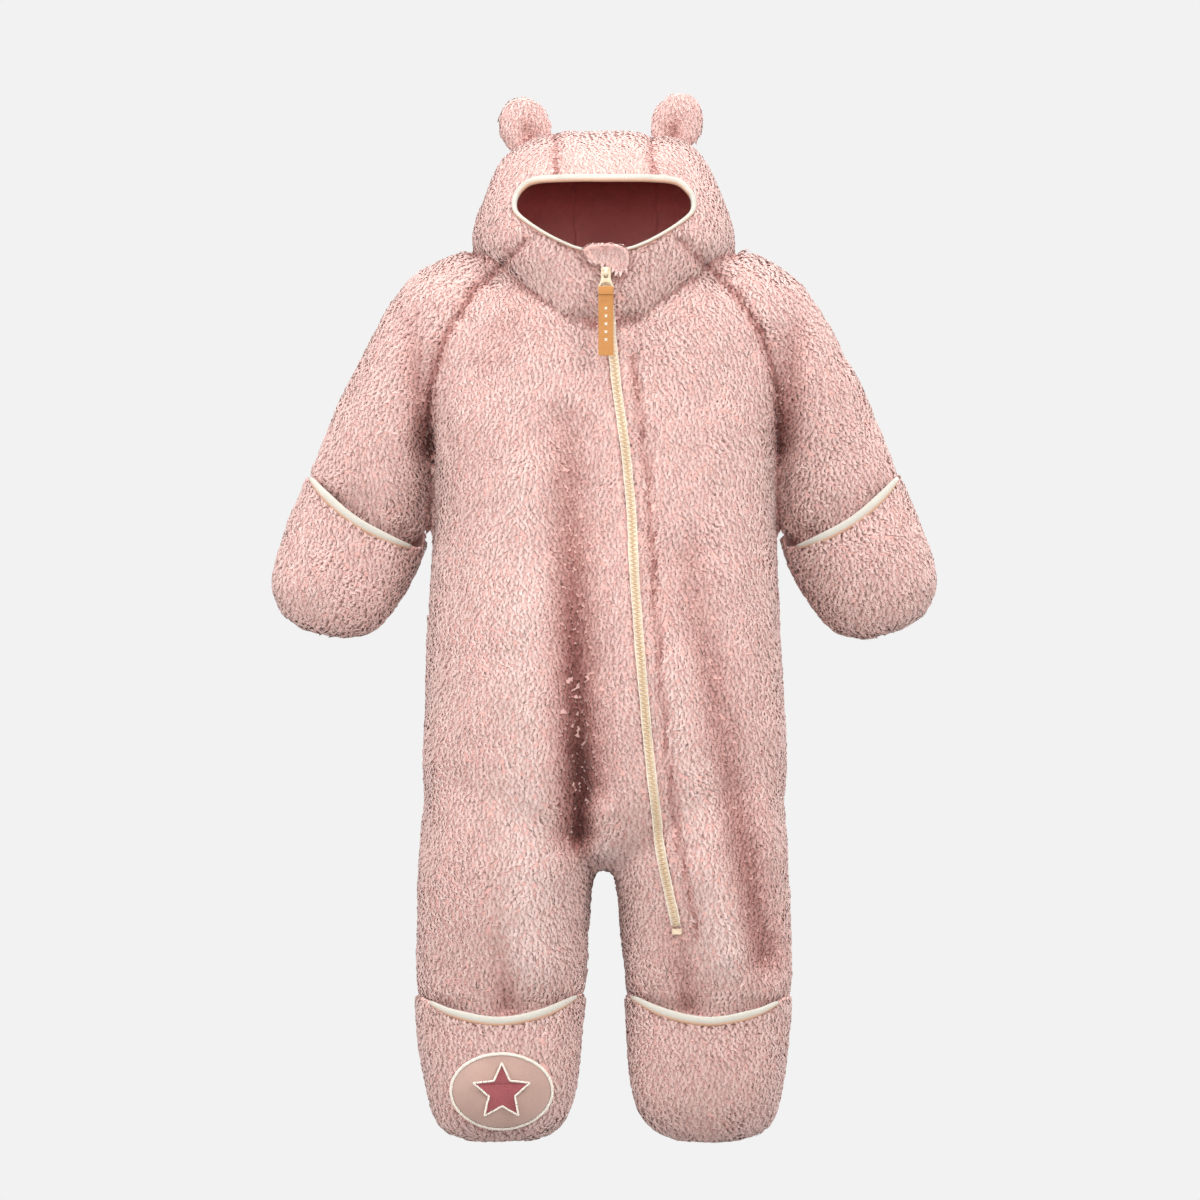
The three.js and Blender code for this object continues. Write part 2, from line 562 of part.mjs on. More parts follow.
// Ears: padded rounds sewn upright on the crown
for (const [name, side] of Object.entries(BOTH_SIDES)) {
  const bevel = EAR.depth * EAR.rounding;
  const outline = new THREE.Shape();
  outline.absellipse(0, 0, EAR.width / 2 - bevel, EAR.height / 2 - bevel, 0, 2 * Math.PI, false, 0);
  const ear = new THREE.ExtrudeGeometry(outline, {
    depth: EAR.depth - 2 * bevel, bevelThickness: bevel, bevelSize: bevel, bevelSegments: 3, curveSegments: 7,
  });
  const { x, y, z } = EAR_PLACE[name];
  ear.translate(0, 0, -EAR.depth / 2 + bevel).rotateX(Math.PI / 2).rotateY(side * EAR_TILT).translate(x, y, z);
  addPiece(`ear_${name}`, "fleece", solid(ear).subtract(hoodSkin(SEAM)));
}

// Zip: two rows of teeth on their tapes, in the channel between the fronts
const zipSkin = wall(bodySkin, -ZIP_DEPTH, -ZIP_DEPTH - ZIP_THICKNESS)
  .intersect(block(-FAR, FAR, -FAR, 0, ZIP_END + SEAM, ZIP_TOP));
const zipHalfStrip = (from, to) => zipSkin.intersect(seenFromFront(asFront(strip(zipLine, from, to)), -FAR, 0));
addPiece("zip_right", "zip", zipHalfStrip(-ZIP_WIDTH / 2, -half));
addPiece("zip_left", "zip", zipHalfStrip(half, ZIP_WIDTH / 2));

// The fleece flap that covers the zip's top under the chin
const guardShape = new THREE.Shape(new THREE.SplineCurve(
  [...GUARD_OUTLINE, GUARD_OUTLINE[0]].map((p) => new THREE.Vector2(p.x, p.z))).getPoints(28).slice(0, -1));
addPiece("chin_guard", "fleece",
  wall(hoodSkin, GUARD_LIFT + GUARD, GUARD_LIFT).intersect(seenFromFront(guardShape, -FAR, 0)));

// Applique on the right foot: a padded ground with a raised motif
const onFoot = (from, to) => wall((offset) => footSkin(offset, -1), to, from);
const ground = new THREE.Shape();
ground.absellipse(PATCH_PLACE.x, PATCH_PLACE.z, PATCH_SIZE.width / 2, PATCH_SIZE.height / 2, 0, 2 * Math.PI);
addPiece("patch_ground", "patch", onFoot(SEAM, SEAM + PATCH).intersect(seenFromFront(ground, -FAR, 0)));
const star = new THREE.Shape();
for (let i = 0; i < 2 * STAR.points; i++) {
  const angle = Math.PI / 2 + (i * Math.PI) / STAR.points;
  const radius = i % 2 ? STAR.inner : STAR.outer;
  const place = [PATCH_PLACE.x + radius * Math.cos(angle), PATCH_PLACE.z + radius * Math.sin(angle)];
  if (i) star.lineTo(...place);
  else star.moveTo(...place);
}
const onGround = 2 * SEAM + PATCH;
addPiece("patch_motif", "motif", onFoot(onGround, onGround + PATCH).intersect(seenFromFront(star, -FAR, 0)));

// Slider on the teeth, with the round bridge that its pull swings on
const hinge = { y: SLIDER.back - SLIDER.rise - PULL.clearance, z: SLIDER.z };
const bridge = new THREE.Shape();
bridge.absarc(hinge.y, hinge.z, BRIDGE.outer, 0, 2 * Math.PI, false);
const bridgeHole = new THREE.Path();
bridgeHole.absarc(hinge.y, hinge.z, BRIDGE.inner, 0, 2 * Math.PI, true);
bridge.holes.push(bridgeHole);
function acrossX(shape, width) {
  const flat = new THREE.ExtrudeGeometry(plain(shape, 20), { depth: width, bevelEnabled: false });
  flat.applyMatrix4(new THREE.Matrix4().makeBasis(...SIDE_AXES));
  return solid(flat.translate(PULL.x - width / 2, 0, 0));
}
const sliderFront = SLIDER.back - SLIDER.rise;
const sliderBlock = block(PULL.x - SLIDER.width / 2, PULL.x + SLIDER.width / 2, sliderFront, SLIDER.back,
  SLIDER.z - SLIDER.length / 2, SLIDER.z + SLIDER.length / 2);
const frontOfSlider = block(-FAR, FAR, -FAR, sliderFront + half, -FAR, FAR);
addPiece("zip_slider", "metal", sliderBlock.add(acrossX(bridge, BRIDGE.width).intersect(frontOfSlider)));

// Pull: a flat tab with an eye on the bridge and a slot for its tape loop
const tabEnd = hinge.z - PULL.length;
const tab = new THREE.Shape();
const curveTo = (side, x, z, toX, toZ) => tab.quadraticCurveTo(PULL.x + side * x, z, PULL.x + side * toX, toZ);
tab.moveTo(PULL.x - PULL.top / 2, hinge.z + PULL.above);
tab.lineTo(PULL.x + PULL.top / 2, hinge.z + PULL.above);
curveTo(1, PULL.top / 2, hinge.z - PULL.length / 2, PULL.wide / 2, tabEnd + PULL.corner);
curveTo(1, PULL.wide / 2, tabEnd, 0, tabEnd);
curveTo(-1, PULL.wide / 2, tabEnd, PULL.wide / 2, tabEnd + PULL.corner);
curveTo(-1, PULL.top / 2, hinge.z - PULL.length / 2, PULL.top / 2, hinge.z + PULL.above);
const slotZ = tabEnd + PULL.slotUp;
const slot = new THREE.Path();
slot.absellipse(PULL.x, slotZ, PULL.slotWide / 2, PULL.slotHigh / 2, 0, 2 * Math.PI);
tab.holes.push(slot);
const halfTab = PULL.thickness / 2;
const eye = block(PULL.x - BRIDGE.width / 2 - EYE.clear, PULL.x + BRIDGE.width / 2 + EYE.clear, -FAR, FAR,
  hinge.z - EYE.bottom, hinge.z - EYE.top);
addPiece("zip_pull", "metal", seenFromFront(tab, hinge.y - halfTab, hinge.y + halfTab, 6).subtract(eye));

// Tape loop: through the slot, round the tab's lower rim, and sewn flat below it
const loopHalf = halfTab + SEAM + LOOP.layer;
const loopTop = slotZ - LOOP.belowSlot;
const acrossTape = (halfWidth, halfDepth, bottom, top) => block(PULL.x - halfWidth, PULL.x + halfWidth,
  hinge.y - halfDepth, hinge.y + halfDepth, bottom, top);
const roundTab = acrossTape(LOOP.width / 2, loopHalf, tabEnd - LOOP.overTab, loopTop)
  .subtract(acrossTape(FAR, halfTab + SEAM, tabEnd - SEAM, FAR));
const throughSlot = acrossTape(LOOP.slotHalf, loopHalf, loopTop - LOOP.inSlot, loopTop);
const loopTail = acrossTape(LOOP.width / 2, LOOP.layer, loopTop - LOOP.length, tabEnd - 1);
addPiece("pull_tape", "tape", roundTab.add(throughSlot).add(loopTail));

export default group;
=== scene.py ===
"""A baby's teddy-fleece bear onesie, filled out with no wearer, dressed round its CAD frame.

Lengths in the tables are millimetres in the frame's own axes: +Z up, front towards -Y and +X to the
viewer's right. Right and left are the wearer's, so the right side is at -X.
"""
import math
import random

import bmesh
import bpy
from mathutils import Matrix, Vector, noise
from mathutils.bvhtree import BVHTree


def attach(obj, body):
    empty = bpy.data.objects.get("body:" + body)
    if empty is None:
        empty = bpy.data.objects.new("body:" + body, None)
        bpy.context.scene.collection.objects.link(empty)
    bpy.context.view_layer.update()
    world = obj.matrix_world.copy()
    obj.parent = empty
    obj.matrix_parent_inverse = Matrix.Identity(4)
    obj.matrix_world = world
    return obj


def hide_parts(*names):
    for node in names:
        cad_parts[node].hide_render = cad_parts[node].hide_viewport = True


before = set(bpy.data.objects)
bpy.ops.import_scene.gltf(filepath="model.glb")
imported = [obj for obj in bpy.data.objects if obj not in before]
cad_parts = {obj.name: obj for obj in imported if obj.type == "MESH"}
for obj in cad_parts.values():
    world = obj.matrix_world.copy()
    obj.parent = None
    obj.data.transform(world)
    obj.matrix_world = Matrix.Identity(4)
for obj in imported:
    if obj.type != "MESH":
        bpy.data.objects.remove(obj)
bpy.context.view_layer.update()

MM = 0.001
SIDES = {"right": -1, "left": 1}
GARMENT = "garment"
PULL = "pull"

# Cloth and trim, in millimetres
PILE = 2.5  # how far the knit backing lies below the tips of the pile
BACKING = 1.4  # thickness of the knit backing
VOXEL = 4.0  # spacing of the backing's mesh
LOCK_GAP = 2.37  # least distance between two locks of pile
LOCK_WIDE = 4.45  # a lock's width at its root
LOCK_LONG = 7.0  # how far its tip leans along the cloth
LOCK_ROOT = -0.6  # how deep it starts in the backing
LOCK_KINDS = 6

# The photograph's frame: its width in pixels, the size of a pixel and the origin's pixel
IMAGE = 1200
PIXEL = 0.68
ORIGIN_PX = (604, 262)
CAMERA_AWAY = 14

# The backdrop's colour in linear values, the floor's height and the studio's lights
PAPER = (0.887, 0.887, 0.887)
AMBIENT = 0.74
FLOOR = -660
LIT_POINT = (0, 0, -0.24)
LIGHTS = [  # name, place and width in metres, and power in watts
    ("key", (2.6, -2.4, 1.9), 1.4, 94),
    ("front", (-0.2, -3.6, 0.9), 1.2, 24),
    ("fill", (-2.8, -1.4, 1.2), 1.8, 68),
    ("top", (0.1, -0.9, 2.9), 2.0, 70),
    ("back", (0.6, 2.8, 1.4), 2.2, 100),
]


def sections(names, rows):
    return [dict(zip(names.split(), row)) for row in rows]


# The filled-out suit's sections. o and i are a limb's outer and inner side.

TORSO = sections("z half front back", [
    (8, 64, 50, 54), (-12, 84, 59, 60), (-35, 100, 65, 65), (-65, 112, 69, 68), (-100, 116.5, 72, 70),
    (-150, 117, 75, 71), (-220, 119, 78, 73), (-290, 122.5, 79, 79), (-345, 125, 74, 84),
    (-382, 118, 62, 75), (-402, 88, 46, 56), (-413, 46, 28, 34),
])
HOOD = sections("z half front back", [
    (90, 21, 13, 22), (86, 42, 28, 46), (80, 57, 43, 64), (71, 68, 57, 77), (58, 76, 68, 86),
    (42, 83, 75, 91), (26, 88.5, 78, 91), (12, 90, 78, 86), (0, 82, 77, 76), (-20, 68, 75, 58),
    (-42, 57, 70, 46), (-60, 50, 62, 40),
])
LEG = sections("z inner outer front back", [
    (-318, 8, 112, 58, 62), (-362, 3, 122.5, 62, 68), (-402, 2, 126.5, 61, 66),
    (-428, 8.5, 127.5, 57, 61), (-464, 11.5, 127.5, 50, 53), (-484, 12.6, 127.5, 45, 48),
    (-496, 13.2, 127.5, 41, 45.5), (-504, 21.5, 119.4, 38, 38), (-530, 24, 116.5, 34, 34),
])
FOOT = sections("z inner outer front back", [
    (-474, 11.8, 127.7, 49, 50), (-500, 13.4, 127.6, 48, 44.5), (-536, 15.9, 125.7, 45, 40),
    (-562, 19, 121.7, 40, 36), (-580, 25, 117, 32, 29), (-591, 35.5, 107.8, 22, 20),
    (-597, 49, 93, 12, 12),
])
SLEEVE = sections("ox oz ix iz y front back", [
    (60, 0, 48, -96, 0, 47, 49), (92, 8, 84, -112, 2, 46, 46), (124, -5, 106, -124, 6, 42, 40),
    (147, -32, 117, -131, 10, 38, 36), (166, -66, 118.6, -141, 13, 36, 34),
    (182, -100, 118.8, -155, 15, 34, 33), (195, -129, 118.9, -171, 15, 31, 33),
    (201.5, -145, 119.6, -184, 15, 27, 32.5), (196.5, -155, 128.4, -188, 15, 25, 25),
    (203, -178, 136.5, -206, 15, 22, 23),
])
MITT = sections("ox oz ix iz y front back", [
    (197, -134, 119, -174, 15, 34, 34), (203.5, -150, 120.2, -189, 15, 34, 32.5),
    (214, -175, 126, -207, 15, 33.5, 31), (223, -200, 136, -225, 15, 31, 29),
    (226.5, -218, 145.5, -239, 14, 27, 25), (220, -236, 157, -250.5, 13, 20, 19),
    (206, -249, 173, -256.5, 12, 12, 12),
])
# Folds seen from the front, on the front (-1) or back (1) face. A positive depth is a valley and a
# negative one a ridge, given at each end of its line.
FOLDS = [
    (-1, (-26, -110, 4), (-15, -385, 21), 15),
    (-1, (-54, -150, -2), (-50, -470, -5), 19),
    (-1, (56, -200, 4), (106, -470, 11), 13),
    (-1, (48, -270, -2), (86, -470, -5), 15),
    (-1, (-4, -374, -8), (-3, -394, -9), 11),
    (-1, (50, -456, 3), (57, -505, 7), 9),
    (-1, (-72, -450, 1), (-66, -505, 7), 9),
    (-1, (128, -42, 3), (121, -125, 12), 9),
    (-1, (-128, -42, 3), (-121, -125, 12), 9),
    (-1, (-50, -22, 2), (-78, -70, 3), 12),
    (1, (-42, -120, 3), (-22, -380, 13), 20),
    (1, (46, -150, 3), (20, -380, 12), 20),
    (1, (92, -260, 2), (98, -470, 8), 15),
    (1, (-90, -280, 2), (-100, -470, 8), 15),
]
ZIP_LINE = [(1.5, 30), (1.5, -9), (6.5, -67), (17.5, -157), (21, -220), (28, -310), (37, -388),
            (49.6, -451), (58, -505), (60, -560)]
ZIP_TOP = -4
ZIP_END = -455
ZIP_SEAM = 13  # how far the seam on the wearer's left lies from the zip
RAGLAN = [(48, 20), (70, -3), (89, -22), (103, -44), (112, -66), (116, -90), (117.6, -112),
          (117.9, -150), (118.8, -182), (124, -206), (138, -238), (150, -290)]
NECK = [(200, 5), (0, 5), (-28, 2), (-52, -18), (-66, -38), (-76, -43), (-200, -46)]
SHOULDER = (86, 10)
FACE = [(0, 57.8), (30, 57.8), (49, 55.8), (58.2, 48.8), (61.8, 40.5), (60.4, 31.8), (52.5, 25),
        (37.5, 15.6), (20, 7.8), (0, 4.2)]
FOOT_EDGE = [(5, -494), (17, -498), (42, -510), (72, -515.5), (102, -510), (121, -501), (135, -497)]
FOOT_SEAM = -500
MITT_EDGE = [(112, -191), (126, -194.5), (147, -188), (170, -175.5), (188, -160), (200, -146),
             (207, -138), (240, -108)]
MITT_SEAM = [(30, -229.2), (240, -130.2)]
MITT_MIDDLE = 15
HOOD_SEAM = 32
BROW = 40
CUFF = [(30, -242.2), (240, -153.8)]
LEG_HEM = -521
LEG_SIDE = 140
LINING = 1.2  # its thickness
LINING_SEAMS = {"right": -20, "left": 36}
LINING_LOW = -30
EAR = (37, 46, 17)  # width, height and depth
EAR_PLACE = {-1: (-53.5, 8, 91), 1: (49.5, 8, 94)}
EAR_TILT = 0.3
EAR_FOOT = 74  # no pile grows below it, inside the hood
GUARD_OUTLINE = [(-13.5, 6.5), (-8, 11), (7, 11.5), (15.5, 6.5), (15.5, -3.5), (11, -9), (6.5, -5),
                 (1, -2.8), (-7, -1.5)]
PATCH_PLACE = (-69.5, -562)
PATCH_SIZE = (66, 50)
STAR = (19, 9)
TAPE_MIDDLE = 1.3  # where the pull's tape hangs
TAPE_FRONT = -81.0  # depth of its front face
ZIP_BOX = (6.4, 2.0, 4.2)
SEWN_LOT = 40  # bars made at a time, because many in one mesh are slow
STEP = 2.2  # distance between the sections of a binding
DOWN = Vector((0, 0, -1))


def ramp(table, at):
    """The second value of a table's pairs at a first value, on straight lines between them."""
    rows = sorted(table)
    if at <= rows[0][0]:
        return rows[0][1]
    for (a, va), (b, vb) in zip(rows, rows[1:]):
        if at <= b:
            return va + (vb - va) * (at - a) / (b - a)
    return rows[-1][1]


def zip_x(z):
    return ramp([(b, a) for a, b in ZIP_LINE], z)


def smooth_row(rows, at):
    """A row between rows, on a curve that never overshoots them."""
    i = min(int(at), len(rows) - 2)
    t = at - i
    mixed = {}
    for key in rows[0]:
        value = [r[key] for r in rows]

        def slope(k):
            if k == 0:
                return value[1] - value[0]
            if k == len(rows) - 1:
                return value[-1] - value[-2]
            before, after = value[k] - value[k - 1], value[k + 1] - value[k]
            return 0 if before * after <= 0 else 2 * before * after / (before + after)

        rise = value[i + 1] - value[i]
        bend = (slope(i) - rise) * (1 - t) + (rise - slope(i + 1)) * t
        mixed[key] = value[i] + rise * t + t * (1 - t) * bend
    return mixed


def section(row, side):
    """A section's centre, the direction of its width and half its width."""
    if "half" in row:
        return Vector((0, 0, row["z"])), Vector((1, 0, 0)), row["half"]
    outer = Vector((row.get("ox", row.get("outer")) * side, row.get("y", 0), row.get("oz", row.get("z"))))
    inner = Vector((row.get("ix", row.get("inner")) * side, row.get("y", 0), row.get("iz", row.get("z"))))
    across = outer - inner
    return (outer + inner) / 2, across.normalized(), across.length / 2


def fold_depth(x, z, face):
    depth = 0
    for side, (x1, z1, d1), (x2, z2, d2), width in FOLDS:
        if side != face or abs(x - (x1 + x2) / 2) > abs(x1 - x2) / 2 + 3 * width:
            continue
        rx, rz = x2 - x1, z2 - z1
        t = min(max(((x - x1) * rx + (z - z1) * rz) / (rx * rx + rz * rz), 0), 1)
        away = math.hypot(x - x1 - rx * t, z - z1 - rz * t) / width
        depth += (d1 + (d2 - d1) * t) * math.exp(-away * away)
    return depth


def mesh_object(name, bm):
    mesh = bpy.data.meshes.new(name)
    obj = bpy.data.objects.new(name, mesh)
    put_back(bm, obj)
    bpy.context.scene.collection.objects.link(obj)
    return obj


def opened(obj):
    bm = bmesh.new()
    bm.from_mesh(obj.data)
    return bm


def put_back(bm, obj):
    bm.to_mesh(obj.data)
    bm.free()


def made_of(made, kind):
    return [g for g in made if isinstance(g, kind)]


def smoothed(faces):
    for face in faces:
        face.smooth = True


def add_tube(bm, rows, side, sides, rings, inset, square):
    """A closed tube through smooth sections, its skin moved in by inset, added to bm in metres."""
    made = bmesh.ops.create_grid(bm, x_segments=sides, y_segments=rings, size=1)["verts"]
    for v in made:
        turn = math.pi * (v.co.x + 1)
        at = (1 - v.co.y) / 2 * (len(rows) - 1)
        row = smooth_row(rows, at)
        centre, across, half = section(row, side)
        ends_in = max(0, 1 - at) - max(0, at - len(rows) + 2)
        i = min(int(at), len(rows) - 2)
        below = section(rows[i + 1], side)[0] - section(rows[i], side)[0]
        centre = centre + below.normalized() * inset * ends_in if below.length else centre
        cos, sin = math.cos(turn), math.sin(turn)
        deep = (row["front"] if sin < 0 else row["back"]) - inset
        wide = half - inset
        reach = ((abs(cos) / wide) ** square + (abs(sin) / deep) ** square) ** (-1 / square)
        v.co = (centre + across * reach * cos + Vector((0, reach * sin, 0))) * MM
    bmesh.ops.remove_doubles(bm, verts=made, dist=0.02 * MM)
    bmesh.ops.holes_fill(bm, edges=[e for e in bm.edges if e.is_boundary], sides=0)


def evaluated(obj):
    """The object's mesh with its modifiers applied, in place of its own."""
    bpy.context.view_layer.update()
    mesh = bpy.data.meshes.new_from_object(obj.evaluated_get(bpy.context.evaluated_depsgraph_get()))
    obj.modifiers.clear()
    old = obj.data
    obj.data = mesh
    bpy.data.meshes.remove(old)
    return obj


def fused(name, tubes, voxel, smoothing):
    """One smooth closed skin round tubes that overlap."""
    bm = bmesh.new()
    for args in tubes:
        add_tube(bm, *args)
    bmesh.ops.recalc_face_normals(bm, faces=bm.faces)
    obj = mesh_object(name, bm)
    remesh = obj.modifiers.new("remesh", "REMESH")
    remesh.mode = "VOXEL"
    remesh.voxel_size = voxel * MM
    smooth = obj.modifiers.new("smooth", "SMOOTH")
    smooth.factor = 0.5
    smooth.iterations = smoothing
    return evaluated(obj)


def near_line(points, x, z):
    """How far (x, z) lies from a line of points, and the nearest place on it."""
    best, place = 1e18, (x, z)
    for (ax, az), (bx, bz) in zip(points, points[1:]):
        rx, rz = bx - ax, bz - az
        long = rx * rx + rz * rz or 1
        t = min(max(((x - ax) * rx + (z - az) * rz) / long, 0), 1)
        px, pz = ax + rx * t, az + rz * t
        away = (x - px) ** 2 + (z - pz) ** 2
        if away < best:
            best, place = away, (px, pz)
    return math.sqrt(best), Vector(place)


def smooth_points(points, steps, closed=False):
    """More points on a Catmull-Rom curve through these."""
    count = len(points)
    made = []
    for i in range(count if closed else count - 1):
        near = [(i + k) % count if closed else min(max(i + k, 0), count - 1) for k in (-1, 0, 1, 2)]
        a, b, c, d = (Vector(points[k]) for k in near)
        for s in range(steps):
            t = s / steps
            made.append((b * 2 + (c - a) * t + (a * 2 - b * 5 + c * 4 - d) * t * t
                         + (b * 3 - a - c * 3 + d) * t ** 3) / 2)
    if not closed:
        made.append(Vector(points[-1]))
    return made


def pairs(curve):
    return [tuple(p) for p in curve]


FACE_CURVE = smooth_points(FACE + [(-x, z) for x, z in FACE[-2:0:-1]], 4, closed=True)
FACE_LOOP = pairs(FACE_CURVE + FACE_CURVE[:1])
GUARD_CURVE = smooth_points(GUARD_OUTLINE, 5, closed=True)
ZIP_CURVE = pairs(smooth_points(ZIP_LINE, 4))
NECK_CURVE = pairs(smooth_points(NECK, 3))
RAGLAN_CURVE = pairs(smooth_points(RAGLAN, 2))
RAGLAN_SEAM = RAGLAN_CURVE[:-6]  # the part of it above the mitts


def inside(curve, x, z):
    """Whether a point seen from the front lies in a closed line."""
    crossings = 0
    for a, b in zip(curve, curve[1:] + curve[:1]):
        if (a.y > z) != (b.y > z) and x < a.x + (b.x - a.x) * (z - a.y) / (b.y - a.y):
            crossings += 1
    return crossings % 2 == 1


def from_zip(p):
    return near_line(ZIP_CURVE, p.x, p.z)[0]


def in_face(p, n):
    return p.y < 0 and n.y < 0 and inside(FACE_CURVE, p.x, p.z)


def bell(distance, width):
    return math.exp(-((distance / width) ** 2))


def in_hood(p):
    over = ramp(NECK_CURVE, p.y)
    return p.z > over and (abs(p.x) < SHOULDER[0] or p.z > SHOULDER[1])


def in_sleeve(p):
    return abs(p.x) > ramp([(z, x) for x, z in RAGLAN_CURVE], p.z) and p.z < 20


def panel_at(p):
    if in_hood(p):
        if abs(p.x) < HOOD_SEAM and not (p.y < 0 and p.z < BROW):
            return "hood_centre"
        return "hood_right" if p.x < 0 else "hood_left"
    if in_sleeve(p):
        return "sleeve_right" if p.x < 0 else "sleeve_left"
    if p.y < 0:
        return "front_right" if p.x < zip_x(p.z) else "front_left"
    return "back_right" if p.x < 0 else "back_left"


def seam_depth(p, normal):
    """How far the seams pull the backing in at a point of the body."""
    deep = 0
    if abs(p.x) > 40 and p.z < 15:
        deep = max(deep, 3.2 * bell(near_line(RAGLAN_SEAM, abs(p.x), p.z)[0], 4.5))
    if -60 < p.z < 20 and abs(p.x) < SHOULDER[0] + 6:
        away = abs(p.z - ramp(NECK_CURVE, p.y))
        deep = max(deep, 3.4 * bell(away, 5))
    if in_hood(p) and not (p.y < 0 and p.z < BROW):
        deep = max(deep, 2.2 * bell(abs(p.x) - HOOD_SEAM, 4))
    if normal.y < 0 and p.y < 0 and p.z < 12:
        away = from_zip(p)
        stitched = 2.4 * bell(away - ZIP_SEAM, 3.5) * (p.x > zip_x(p.z)) * (p.z < -60)
        deep = max(deep, 1.6 * bell(away, 5)) + stitched
    if p.z < -60 and not in_hood(p):
        deep = max(deep, 1.6 * bell(p.y, 4))
    return deep


def ripple(p):
    """Small uneven waves in the cloth, in millimetres."""
    long = noise.noise(Vector((p.x / 34, p.y / 34, p.z / 70)))
    short = noise.noise(Vector((p.x / 15, p.y / 15 + 7, p.z / 24)))
    return 2.6 * long + 1.1 * short


def moved_to(obj, places):
    for v, place in zip(obj.data.vertices, places):
        v.co = place


def shape_body(obj):
    """Presses the folds, the seams and small waves into the body's skin."""
    moved = []
    for v in obj.data.vertices:
        p, n = v.co / MM, v.normal
        push = fold_depth(p.x, p.z, -1 if n.y < 0 else 1) * abs(n.y)
        inward = seam_depth(p, n) + ripple(p)
        moved.append(v.co - n * inward * MM - Vector((0, push if n.y > 0 else -push, 0)) * MM)
    moved_to(obj, moved)


def tree_of(obj):
    return BVHTree.FromPolygons([v.co for v in obj.data.vertices], [p.vertices for p in obj.data.polygons])


def on_front(tree, x, z, lift=0):
    """The place and normal where a line from the front meets a skin, lifted off it."""
    place, normal, _, _ = tree.ray_cast(Vector((x, -400, z)) * MM, Vector((0, 1, 0)))
    if place is None:
        place, normal, _, _ = tree.find_nearest(Vector((x, -60, z)) * MM)
    return place + normal * lift * MM, normal


def snapped(p, pair):
    """A vertex between two panels, moved on to their seam."""
    kinds = {name.split("_")[0] for name in pair}
    if kinds == {"front"}:
        return Vector((zip_x(p.z), p.y, p.z))
    if kinds == {"back"}:
        return Vector((0, p.y, p.z))
    if kinds == {"front", "back"}:
        return Vector((p.x, 0, p.z))
    if kinds == {"hood"} and "hood_centre" in pair and abs(abs(p.x) - HOOD_SEAM) < VOXEL:
        return Vector((math.copysign(HOOD_SEAM, p.x), p.y, p.z))
    if "sleeve" in kinds and "hood" not in kinds:
        _, place = near_line(RAGLAN_CURVE, abs(p.x), p.z)
        if place is not None and (place - Vector((abs(p.x), p.z))).length < 1.3 * VOXEL:
            return Vector((math.copysign(place.x, p.x), p.y, place.y))
    return p


def split_panels(obj):
    """Each panel of the body as an object of its own, cut on its seams."""
    bm = opened(obj)
    names = {}
    for face in bm.faces:
        centre = face.calc_center_median() / MM
        hole = in_face(centre, face.normal) and centre.z > 0
        names[face.index] = None if hole else panel_at(centre)
    for edge in bm.edges:
        pair = {names[f.index] for f in edge.link_faces}
        if len(pair) == 2 and None not in pair:
            for v in edge.verts:
                v.co = snapped(v.co / MM, pair) * MM
        if len(pair) == 2 and None in pair:
            for v in edge.verts:
                place = near_line(FACE_LOOP, v.co.x / MM, v.co.z / MM)[1]
                v.co.x, v.co.z = place.x * MM, place.y * MM
    made = {}
    for name in sorted({n for n in names.values() if n}):
        part = bm.copy()
        part.faces.ensure_lookup_table()
        gone = [f for f in part.faces if names[f.index] != name]
        bmesh.ops.delete(part, geom=gone, context="FACES")
        keep_largest(part)
        made[name] = mesh_object(name + "_cloth", part)
    bm.free()
    return made


def keep_largest(bm):
    """Drops every island of faces but the largest."""
    bm.faces.ensure_lookup_table()
    seen, islands = set(), []
    for face in bm.faces:
        if face in seen:
            continue
        island, stack = [], [face]
        seen.add(face)
        while stack:
            at = stack.pop()
            island.append(at)
            for edge in at.edges:
                for other in edge.link_faces:
                    if other not in seen:
                        seen.add(other)
                        stack.append(other)
        islands.append(island)
    islands.sort(key=len)
    small = [f for island in islands[:-1] for f in island]
    bmesh.ops.delete(bm, geom=small, context="FACES")


# Materials

def nodes_of(name):
    """A new material, its node tree and its Principled shader."""
    made = bpy.data.materials.new(name)
    made.use_nodes = True
    tree = made.node_tree
    return made, tree, tree.nodes["Principled BSDF"]


def set_inputs(node, **values):
    for key, value in values.items():
        node.inputs[key.replace("_", " ")].default_value = value


def add_node(tree, kind, links=None, **values):
    """A node with its properties and plain input values set and its inputs linked."""
    node = tree.nodes.new(kind)
    for key, value in values.items():
        if hasattr(node, key):
            setattr(node, key, value)
        else:
            set_inputs(node, **{key: value})
    for key, source in (links or {}).items():
        tree.links.new(source, node.inputs[key])
    return node


def object_place(tree):
    return add_node(tree, "ShaderNodeTexCoord").outputs["Object"]


def attribute(tree, label, output="Fac"):
    return add_node(tree, "ShaderNodeAttribute", attribute_name=label).outputs[output]


def noise_of(tree, place, scale, detail, **more):
    node = add_node(tree, "ShaderNodeTexNoise", {"Vector": place}, Scale=scale, Detail=detail, **more)
    return node.outputs["Fac"]


def maths(tree, operation, *values):
    return add_node(tree, "ShaderNodeMath", dict(enumerate(values)), operation=operation).outputs[0]


def scaled_place(tree, place, factor):
    return add_node(tree, "ShaderNodeVectorMath", {0: place, "Scale": factor}, operation="SCALE").outputs[0]


def scaled_sum(tree, value, factor, plus=0.0):
    """A value times a factor, plus a number or another value."""
    links = {0: value} if isinstance(plus, float) else {0: value, 2: plus}
    node = add_node(tree, "ShaderNodeMath", links, operation="MULTIPLY_ADD")
    node.inputs[1].default_value = factor
    if isinstance(plus, float):
        node.inputs[2].default_value = plus
    return node.outputs[0]


